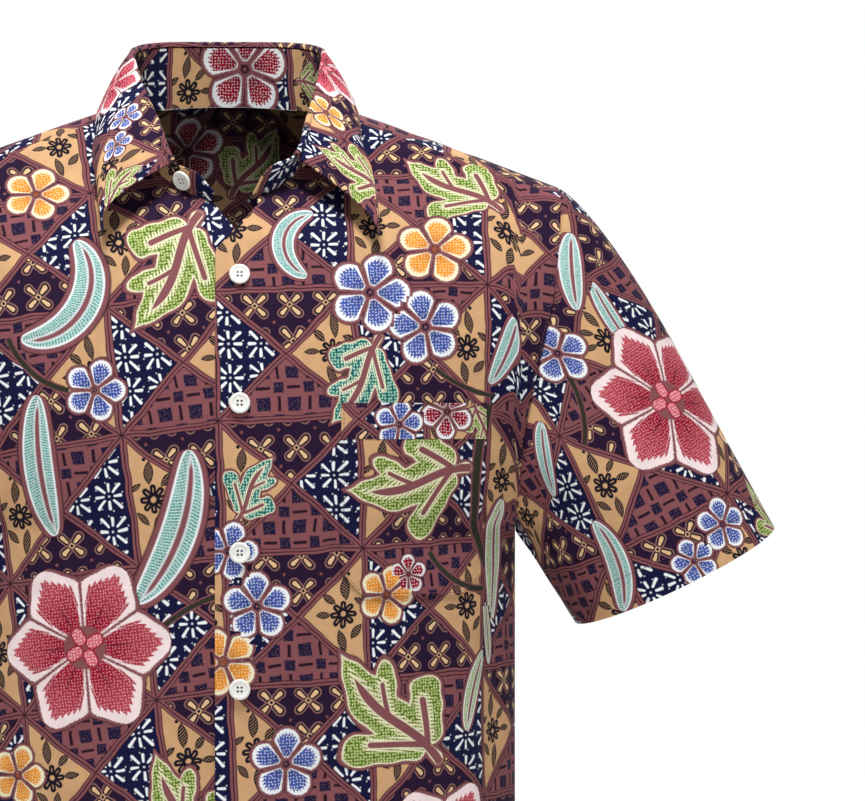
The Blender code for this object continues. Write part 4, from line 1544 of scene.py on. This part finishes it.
def button_mesh():
    """A turned button with a raised rim and four drilled holes, its back on z = 0."""
    outline = bpy.data.meshes.new("button_outline")
    corners = [(x * BUTTON_RADIUS, 0, z * BUTTON_THICK) for x, z in BUTTON_PROFILE]
    outline.from_pydata(corners, [(n, n + 1) for n in range(len(corners) - 1)], [])
    disc = bpy.data.objects.new("button_disc", outline)
    bpy.context.scene.collection.objects.link(disc)
    turned = disc.modifiers.new("turned", "SCREW")
    turned.steps = turned.render_steps = BUTTON_SIDES
    turned.use_merge_vertices = True
    turned.merge_threshold = 0.00001
    drills = []
    for quarter in range(4):
        at = math.radians(45 + 90 * quarter)
        place = (HOLE_AT * math.cos(at), HOLE_AT * math.sin(at), BUTTON_THICK / 2)
        bpy.ops.mesh.primitive_cylinder_add(
            vertices=HOLE_SIDES, radius=HOLE_RADIUS, depth=DRILL_LONG, location=place
        )
        drills.append(bpy.context.object)
        hole = disc.modifiers.new("hole", "BOOLEAN")
        hole.operation = "DIFFERENCE"
        hole.object = drills[-1]
    bpy.context.view_layer.update()
    drilled = disc.evaluated_get(bpy.context.evaluated_depsgraph_get())
    mesh = bpy.data.meshes.new_from_object(drilled)
    for used in (disc, *drills):
        bpy.data.objects.remove(used)
    mesh.materials.clear()
    mesh.materials.append(button_material())
    mesh.shade_smooth()
    mesh.set_sharp_from_angle(angle=SHARP_BUTTON)
    return mesh


def face(made, location, out):
    """Puts an object at a place, with its own Z along a direction."""
    made.location = location
    made.rotation_mode = "QUATERNION"
    made.rotation_quaternion = Vector(out).to_track_quat("Z", "Y")


def set_button(node, mesh, point, out):
    made = add(node + "_turned", mesh)
    face(made, point, out)
    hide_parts(node)


def buttons():
    mesh = button_mesh()
    x = np.array([[BUTTON_X]])
    for number, z in enumerate(BUTTON_Z, 1):
        point, run = on_left_front(x, np.array([[z]]), BUTTON_OFF)
        set_button(f"button_{number}", mesh, point[0, 0], shell_normal(run, x, 1)[0, 0])
    # the middle one of three places lies at the button
    foot, top, _, out = stand_lines(COLLAR_BUTTON_ANGLE + np.linspace(-1, 1, 3))
    point = foot[1] + (top[1] - foot[1]) * COLLAR_BUTTON_UP + out[1] * BUTTON_OFF
    set_button("button_collar", mesh, point, out[1])


# ---------------------------------------------------------------- where the motifs are
# A row is (x, z, size, turn), in metres and degrees: where the motif's middle lies on
# the worn shirt, how far it reaches, and how it is turned. A curl or stem has a fifth
# number, how far it is bent round. A sleeve and the collar leaf have two tables, one for
# the front and one for the back. The stand's places are on its cut, across and up.

FRONT_LEFT_MOTIFS = {
    "lily": ((0.154, -0.532, 0.058, 5), (0.075, -0.670, 0.050, 0)),
    "blue_bloom": (
        (0.099, -0.134, 0.029, 0), (0.138, -0.158, 0.027, 30), (0.000, -0.313, 0.021, 0),
        (0.020, -0.351, 0.024, 20), (0.040, -0.460, 0.025, 15), (0.130, -0.712, 0.024, 10),
    ),
    "orange_bloom": (
        (0.145, -0.103, 0.027, 10), (-0.003, -0.389, 0.024, 40), (0.110, -0.344, 0.021, 0),
        (0.125, -0.622, 0.025, 0),
    ),
    "lime_leaf": ((0.161, -0.058, 0.040, 60), (0.113, -0.428, 0.055, 44), (0.165, -0.650, 0.040, 40)),
    "teal_leaf": (
        (0.092, -0.194, 0.036, 150), (0.016, -0.271, 0.026, -30), (0.030, -0.606, 0.044, -30),
    ),
    "teal_curl": (
        (0.038, -0.098, 0.034, -5, 150), (0.196, -0.174, 0.030, -18, -25),
        (0.060, -0.535, 0.050, -25, 60), (0.204, -0.600, 0.036, 0, 30),
    ),
    "lime_curl": (
        (0.188, -0.320, 0.046, 0, 20), (0.172, -0.412, 0.030, -20, 30), (0.186, -0.372, 0.024, 15, -25),
    ),
    "stem": (
        (0.178, -0.265, 0.055, 8, 40), (0.166, -0.200, 0.026, 72, 40), (0.158, -0.335, 0.030, 62, 60),
        (0.085, -0.545, 0.040, 65, 40),
    ),
}
FRONT_RIGHT_MOTIFS = {
    "lily": ((-0.099, -0.380, 0.061, 5), (-0.205, -0.136, 0.048, 0), (-0.130, -0.575, 0.052, 0)),
    "blue_bloom": ((-0.092, -0.202, 0.022, 0), (-0.180, -0.405, 0.025, 0), (-0.070, -0.655, 0.026, 0)),
    "orange_bloom": (
        (-0.135, -0.064, 0.024, 0), (-0.146, -0.470, 0.022, 0), (-0.115, -0.705, 0.024, 0),
    ),
    "lime_leaf": (
        (-0.038, -0.117, 0.050, 152), (-0.030, -0.494, 0.044, 30), (-0.182, -0.240, 0.034, 200),
        (-0.170, -0.665, 0.042, -40),
    ),
    "teal_leaf": ((-0.190, -0.500, 0.034, 150),),
    "teal_curl": (
        (-0.101, -0.144, 0.053, -28, -140), (-0.131, -0.255, 0.050, 7, 25),
        (-0.034, -0.300, 0.058, -19, -50), (-0.055, -0.575, 0.050, 20, 70),
    ),
    "lime_curl": ((-0.188, -0.330, 0.045, 5, -40),),
    "stem": ((-0.136, -0.190, 0.030, 50, 60), (-0.028, -0.353, 0.028, -60, 30)),
}
POCKET_MOTIFS = {
    "orange_bloom": ((0.110, -0.344, 0.021, 0),),
    "red_bloom": ((0.125, -0.330, 0.014, 20),),
    "lime_leaf": ((0.129, -0.266, 0.048, 100),),
    "lime_curl": ((0.188, -0.320, 0.046, 0, 20),),
    "stem": ((0.172, -0.280, 0.050, 8, 40), (0.158, -0.335, 0.030, 62, 60)),
}
POCKET_BAND_MOTIFS = {
    "blue_bloom": ((0.118, -0.226, 0.018, 10),),
    "red_bloom": ((0.152, -0.217, 0.020, 50),),
    "lime_leaf": ((0.177, -0.227, 0.020, 200),),
}
BACK_MOTIFS = {
    "lily": (
        (0.095, -0.175, 0.054, 10), (-0.045, -0.345, 0.052, 25), (0.140, -0.460, 0.052, 0),
        (-0.150, -0.640, 0.052, 15),
    ),
    "blue_bloom": (
        (-0.055, -0.140, 0.026, 0), (-0.170, -0.235, 0.026, 20), (0.085, -0.330, 0.027, 0),
        (-0.030, -0.475, 0.025, 0), (0.090, -0.560, 0.026, 10), (0.115, -0.680, 0.026, 0),
    ),
    "orange_bloom": (
        (0.165, -0.215, 0.024, 0), (-0.025, -0.245, 0.025, 0), (0.115, -0.365, 0.024, 30),
        (-0.165, -0.480, 0.025, 0), (-0.050, -0.640, 0.026, 0),
    ),
    "lime_leaf": (
        (-0.120, -0.170, 0.044, 40), (0.030, -0.260, 0.042, 150), (0.045, -0.430, 0.046, -30),
        (-0.090, -0.540, 0.044, 30), (0.040, -0.660, 0.042, 60),
    ),
    "teal_leaf": ((-0.155, -0.350, 0.042, 200), (0.160, -0.590, 0.038, 170)),
    "teal_curl": (
        (0.015, -0.160, 0.046, 30, -90), (-0.090, -0.260, 0.050, -20, 60),
        (-0.110, -0.430, 0.050, 10, 50), (0.010, -0.550, 0.050, -30, 80),
        (0.175, -0.690, 0.036, -10, 40),
    ),
    "lime_curl": ((0.150, -0.300, 0.046, 15, -40),),
    "stem": (
        (0.055, -0.205, 0.035, 60, 40), (-0.110, -0.315, 0.035, 40, -50),
        (0.100, -0.510, 0.035, 30, 50),
    ),
}
YOKE_MOTIFS = {
    "lily": ((0.150, -0.030, 0.046, 0),),
    "blue_bloom": ((0.090, -0.070, 0.025, 0), (-0.190, -0.110, 0.024, 0)),
    "red_bloom": ((-0.030, -0.026, 0.027, 20),),
    "lime_leaf": ((-0.145, -0.035, 0.042, 30), (0.020, -0.035, 0.034, 30)),
}
SLEEVE_LEFT_MOTIFS = (
    {
        "lily": ((0.311, -0.208, 0.061, -30),),
        "blue_bloom": (
            (0.232, -0.178, 0.025, 0), (0.352, -0.300, 0.020, 0), (0.332, -0.324, 0.017, 20),
        ),
        "lime_leaf": ((0.385, -0.290, 0.030, 10),),
        "teal_curl": (
            (0.243, -0.116, 0.036, -45, 20), (0.272, -0.151, 0.032, -8, 30),
            (0.276, -0.326, 0.036, -8, -60), (0.222, -0.250, 0.030, -25, 30),
        ),
        "stem": ((0.248, -0.212, 0.030, -20, -40),),
    },
    {
        "lily": ((0.300, -0.250, 0.050, 20),),
        "blue_bloom": ((0.250, -0.300, 0.024, 0),),
        "orange_bloom": ((0.350, -0.220, 0.025, 0),),
        "lime_leaf": ((0.260, -0.160, 0.038, 120),),
        "teal_curl": ((0.370, -0.300, 0.034, 0, -50),),
    },
)
SLEEVE_RIGHT_MOTIFS = (
    {
        "lily": ((-0.330, -0.290, 0.050, 20),),
        "blue_bloom": ((-0.245, -0.200, 0.024, 0), (-0.275, -0.330, 0.022, 0)),
        "orange_bloom": ((-0.315, -0.195, 0.026, 0),),
        "lime_leaf": ((-0.270, -0.150, 0.040, -30),),
        "teal_curl": ((-0.260, -0.250, 0.044, 10, 60),),
        "stem": ((-0.290, -0.235, 0.030, 40, 50),),
    },
    {
        "lily": ((-0.270, -0.210, 0.050, 0),),
        "blue_bloom": ((-0.335, -0.230, 0.026, 0),),
        "orange_bloom": ((-0.380, -0.290, 0.022, 0),),
        "teal_leaf": ((-0.320, -0.310, 0.038, 160),),
        "lime_curl": ((-0.250, -0.310, 0.038, -10, 50),),
    },
)
COLLAR_LEAF_MOTIFS = (
    {
        "lily": ((0.068, 0.040, 0.036, 0), (-0.083, 0.015, 0.030, 0)),
        "blue_bloom": ((-0.072, -0.008, 0.014, 0), (-0.077, -0.030, 0.013, 20)),
        "orange_bloom": ((0.069, -0.006, 0.017, 10),),
        "lime_leaf": ((0.090, -0.046, 0.030, 0), (-0.075, -0.060, 0.022, 20)),
    },
    {
        "orange_bloom": ((0.030, 0.020, 0.022, 0),),
        "lime_leaf": ((-0.040, 0.020, 0.028, 90),),
    },
)
COLLAR_STAND_MOTIFS = {
    "orange_bloom": ((-0.105, 0.020, 0.020, 20),),
    "red_bloom": ((-0.013, 0.028, 0.034, 20),),
    "lime_leaf": ((-0.075, 0.020, 0.020, 90), (0.165, 0.020, 0.026, 90)),
}

# A cell of the patchwork: (x and z of its middle, turn, its column, its row)
FRONT_LEFT_GROUND = (0.040, -0.1765, 2.5, 0, 0)
FRONT_RIGHT_GROUND = (-0.031, -0.1825, 7.5, 0, 0)
BACK_GROUND = (0.000, -0.200, 0, 0, 0)
YOKE_GROUND = (0.010, -0.060, 0, 1, 0)
SLEEVE_LEFT_GROUND = (0.295, -0.255, 0, 0, 1)
SLEEVE_RIGHT_GROUND = (-0.300, -0.240, 0, 1, 0)
COLLAR_LEAF_GROUND = (0.020, 0.010, 4, 0, 0)
COLLAR_STAND_GROUND = (-0.100, 0.012, 0, 0, 0)
POCKET_BAND_GROUND = (0.090, -0.222, 2.5, 1, 1)


# What each sheet replaces, its finish, its cut (width and length, area), and how it lies
SHEETS = {
    "front_left_cloth": ("front_left", "cloth", (0.273, 0.771), 0.188, "draped", ["yoke"]),
    "front_right_cloth": ("front_right", "cloth", (0.289, 0.771), 0.198, "draped", ["yoke"]),
    "back_cloth": ("back", "cloth", (0.531, 0.657), 0.321, "draped", ["yoke"]),
    "yoke_cloth": ("yoke", "cloth", (0.475, 0.203), 0.0763, "draped", []),
    "sleeve_left_cloth": ("sleeve_left", "sleeve_cloth", (0.500, 0.250), 0.0923, "draped", ["yoke"]),
    "sleeve_right_cloth": ("sleeve_right", "sleeve_cloth", (0.500, 0.250), 0.0923, "draped", ["yoke"]),
    "collar_stand_cloth": ("collar_stand", "collar_cloth", (0.509, 0.045), 0.0146, "folded", ["yoke"]),
    "collar_leaf_cloth": (
        "collar_leaf", "collar_cloth", (0.552, 0.093), 0.0279, "folded", ["collar_stand"]
    ),
    "pocket_cloth": ("pocket", "pocket_cloth", (0.118, 0.112), 0.0123, "laid", ["front_left"]),
    "pocket_band": ("pocket", "pocket_cloth", (0.1095, 0.028), 0.00275, "laid", ["front_left"]),
}


def declare(*panels):
    """Joins each panel's stitches into one mesh and hides the CAD part it replaces, as the table names.
    """
    for made in panels:
        node, slot, flat, area, held, rests_on = SHEETS[made.name]
        stitches = [make_threads(made.name)] if made.name in threads else []
        for piece in (made, *stitches):
            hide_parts(node)


def build():
    declare(
        front("front_left_cloth", 1, FRONT_LEFT_MOTIFS, FRONT_LEFT_GROUND),
        front("front_right_cloth", -1, FRONT_RIGHT_MOTIFS, FRONT_RIGHT_GROUND),
    )
    declare(back(BACK_MOTIFS, BACK_GROUND))
    declare(yoke(YOKE_MOTIFS, YOKE_GROUND))
    declare(sleeve("sleeve_left_cloth", 1, SLEEVE_LEFT_MOTIFS, SLEEVE_LEFT_GROUND))
    declare(sleeve("sleeve_right_cloth", -1, SLEEVE_RIGHT_MOTIFS, SLEEVE_RIGHT_GROUND))
    declare(collar_stand(COLLAR_STAND_MOTIFS, COLLAR_STAND_GROUND))
    declare(collar_leaf(COLLAR_LEAF_MOTIFS, COLLAR_LEAF_GROUND))
    foot, top = POCKET_Z
    mouth = top - POCKET_BAND
    patch = ("pocket_cloth", foot, mouth, POCKET_OFF, POCKET_MOTIFS, FRONT_LEFT_GROUND, POCKET_CLIP)
    band = ("pocket_band", mouth, top, POCKET_BAND_OFF, POCKET_BAND_MOTIFS, POCKET_BAND_GROUND, 0)
    declare(pocket_part(*patch), pocket_part(*band))
    buttons()


# ---------------------------------------------------------------- studio

FLOOR_RADIUS = 2.3
FLOOR_GAP = 0.004
AMBIENT = 0.16
CAMERA_FROM = (0.0, -3.2, -0.209)
CAMERA_AT = (0.1472, 0.0, -0.2092)
CAMERA_LENS = 185.0
# Round soft lights: (name, where, what it looks at, width in metres, watts)
LIGHTS = (
    ("key", (-0.15, -1.05, 2.35), (0, 0, -0.25), 0.8, 106),
    ("fill", (1.6, -2.8, 0.2), (0, 0, -0.25), 2.0, 9),
    ("rim", (0.5, 2.2, 1.6), (0, 0, -0.2), 1.6, 24),
)


def studio_floor():
    """A pale round floor, small enough that its far edge stays below the picture."""
    place = (0, 0, cad_box[0][2] - FLOOR_GAP)
    bpy.ops.mesh.primitive_circle_add(
        vertices=96, radius=FLOOR_RADIUS, fill_type="NGON", location=place
    )
    floor = bpy.context.object
    floor.name = "studio_floor"
    made, shader = new_material("studio_floor")
    shader.inputs["Base Color"].default_value = (0.9, 0.9, 0.9, 1)
    shader.inputs["Roughness"].default_value = 0.9
    floor.data.materials.append(made)


def aimed(name, data, location, aim):
    """A light or camera at a place, looking at another."""
    made = bpy.data.objects.new(name, data)
    face(made, location, Vector(location) - Vector(aim))
    bpy.context.scene.collection.objects.link(made)
    return made


def light(name, location, aim, size, power):
    lamp = bpy.data.lights.new(name, "AREA")
    lamp.shape = "DISK"
    lamp.size = size
    lamp.energy = power
    aimed(name, lamp, location, aim)


def camera():
    lens = bpy.data.cameras.new("camera")
    lens.sensor_width = 36.0
    lens.lens = CAMERA_LENS
    lens.clip_end = 200.0
    bpy.context.scene.camera = aimed("camera", lens, CAMERA_FROM, CAMERA_AT)


def studio():
    scene = bpy.context.scene
    scene.view_settings.view_transform = "Standard"
    world = bpy.data.worlds.new("studio")
    world.use_nodes = True
    nodes, links = world.node_tree.nodes, world.node_tree.links
    nodes["Background"].inputs["Color"].default_value = (1, 1, 1, 1)
    seen = nodes.new("ShaderNodeLightPath")
    strength = nodes.new("ShaderNodeMapRange")
    strength.inputs["To Min"].default_value = AMBIENT
    strength.inputs["To Max"].default_value = 1.0
    links.new(seen.outputs["Is Camera Ray"], strength.inputs["Value"])
    links.new(strength.outputs["Result"], nodes["Background"].inputs["Strength"])
    scene.world = world
    for row in LIGHTS:
        light(*row)
    studio_floor()
    camera()


build()
studio()
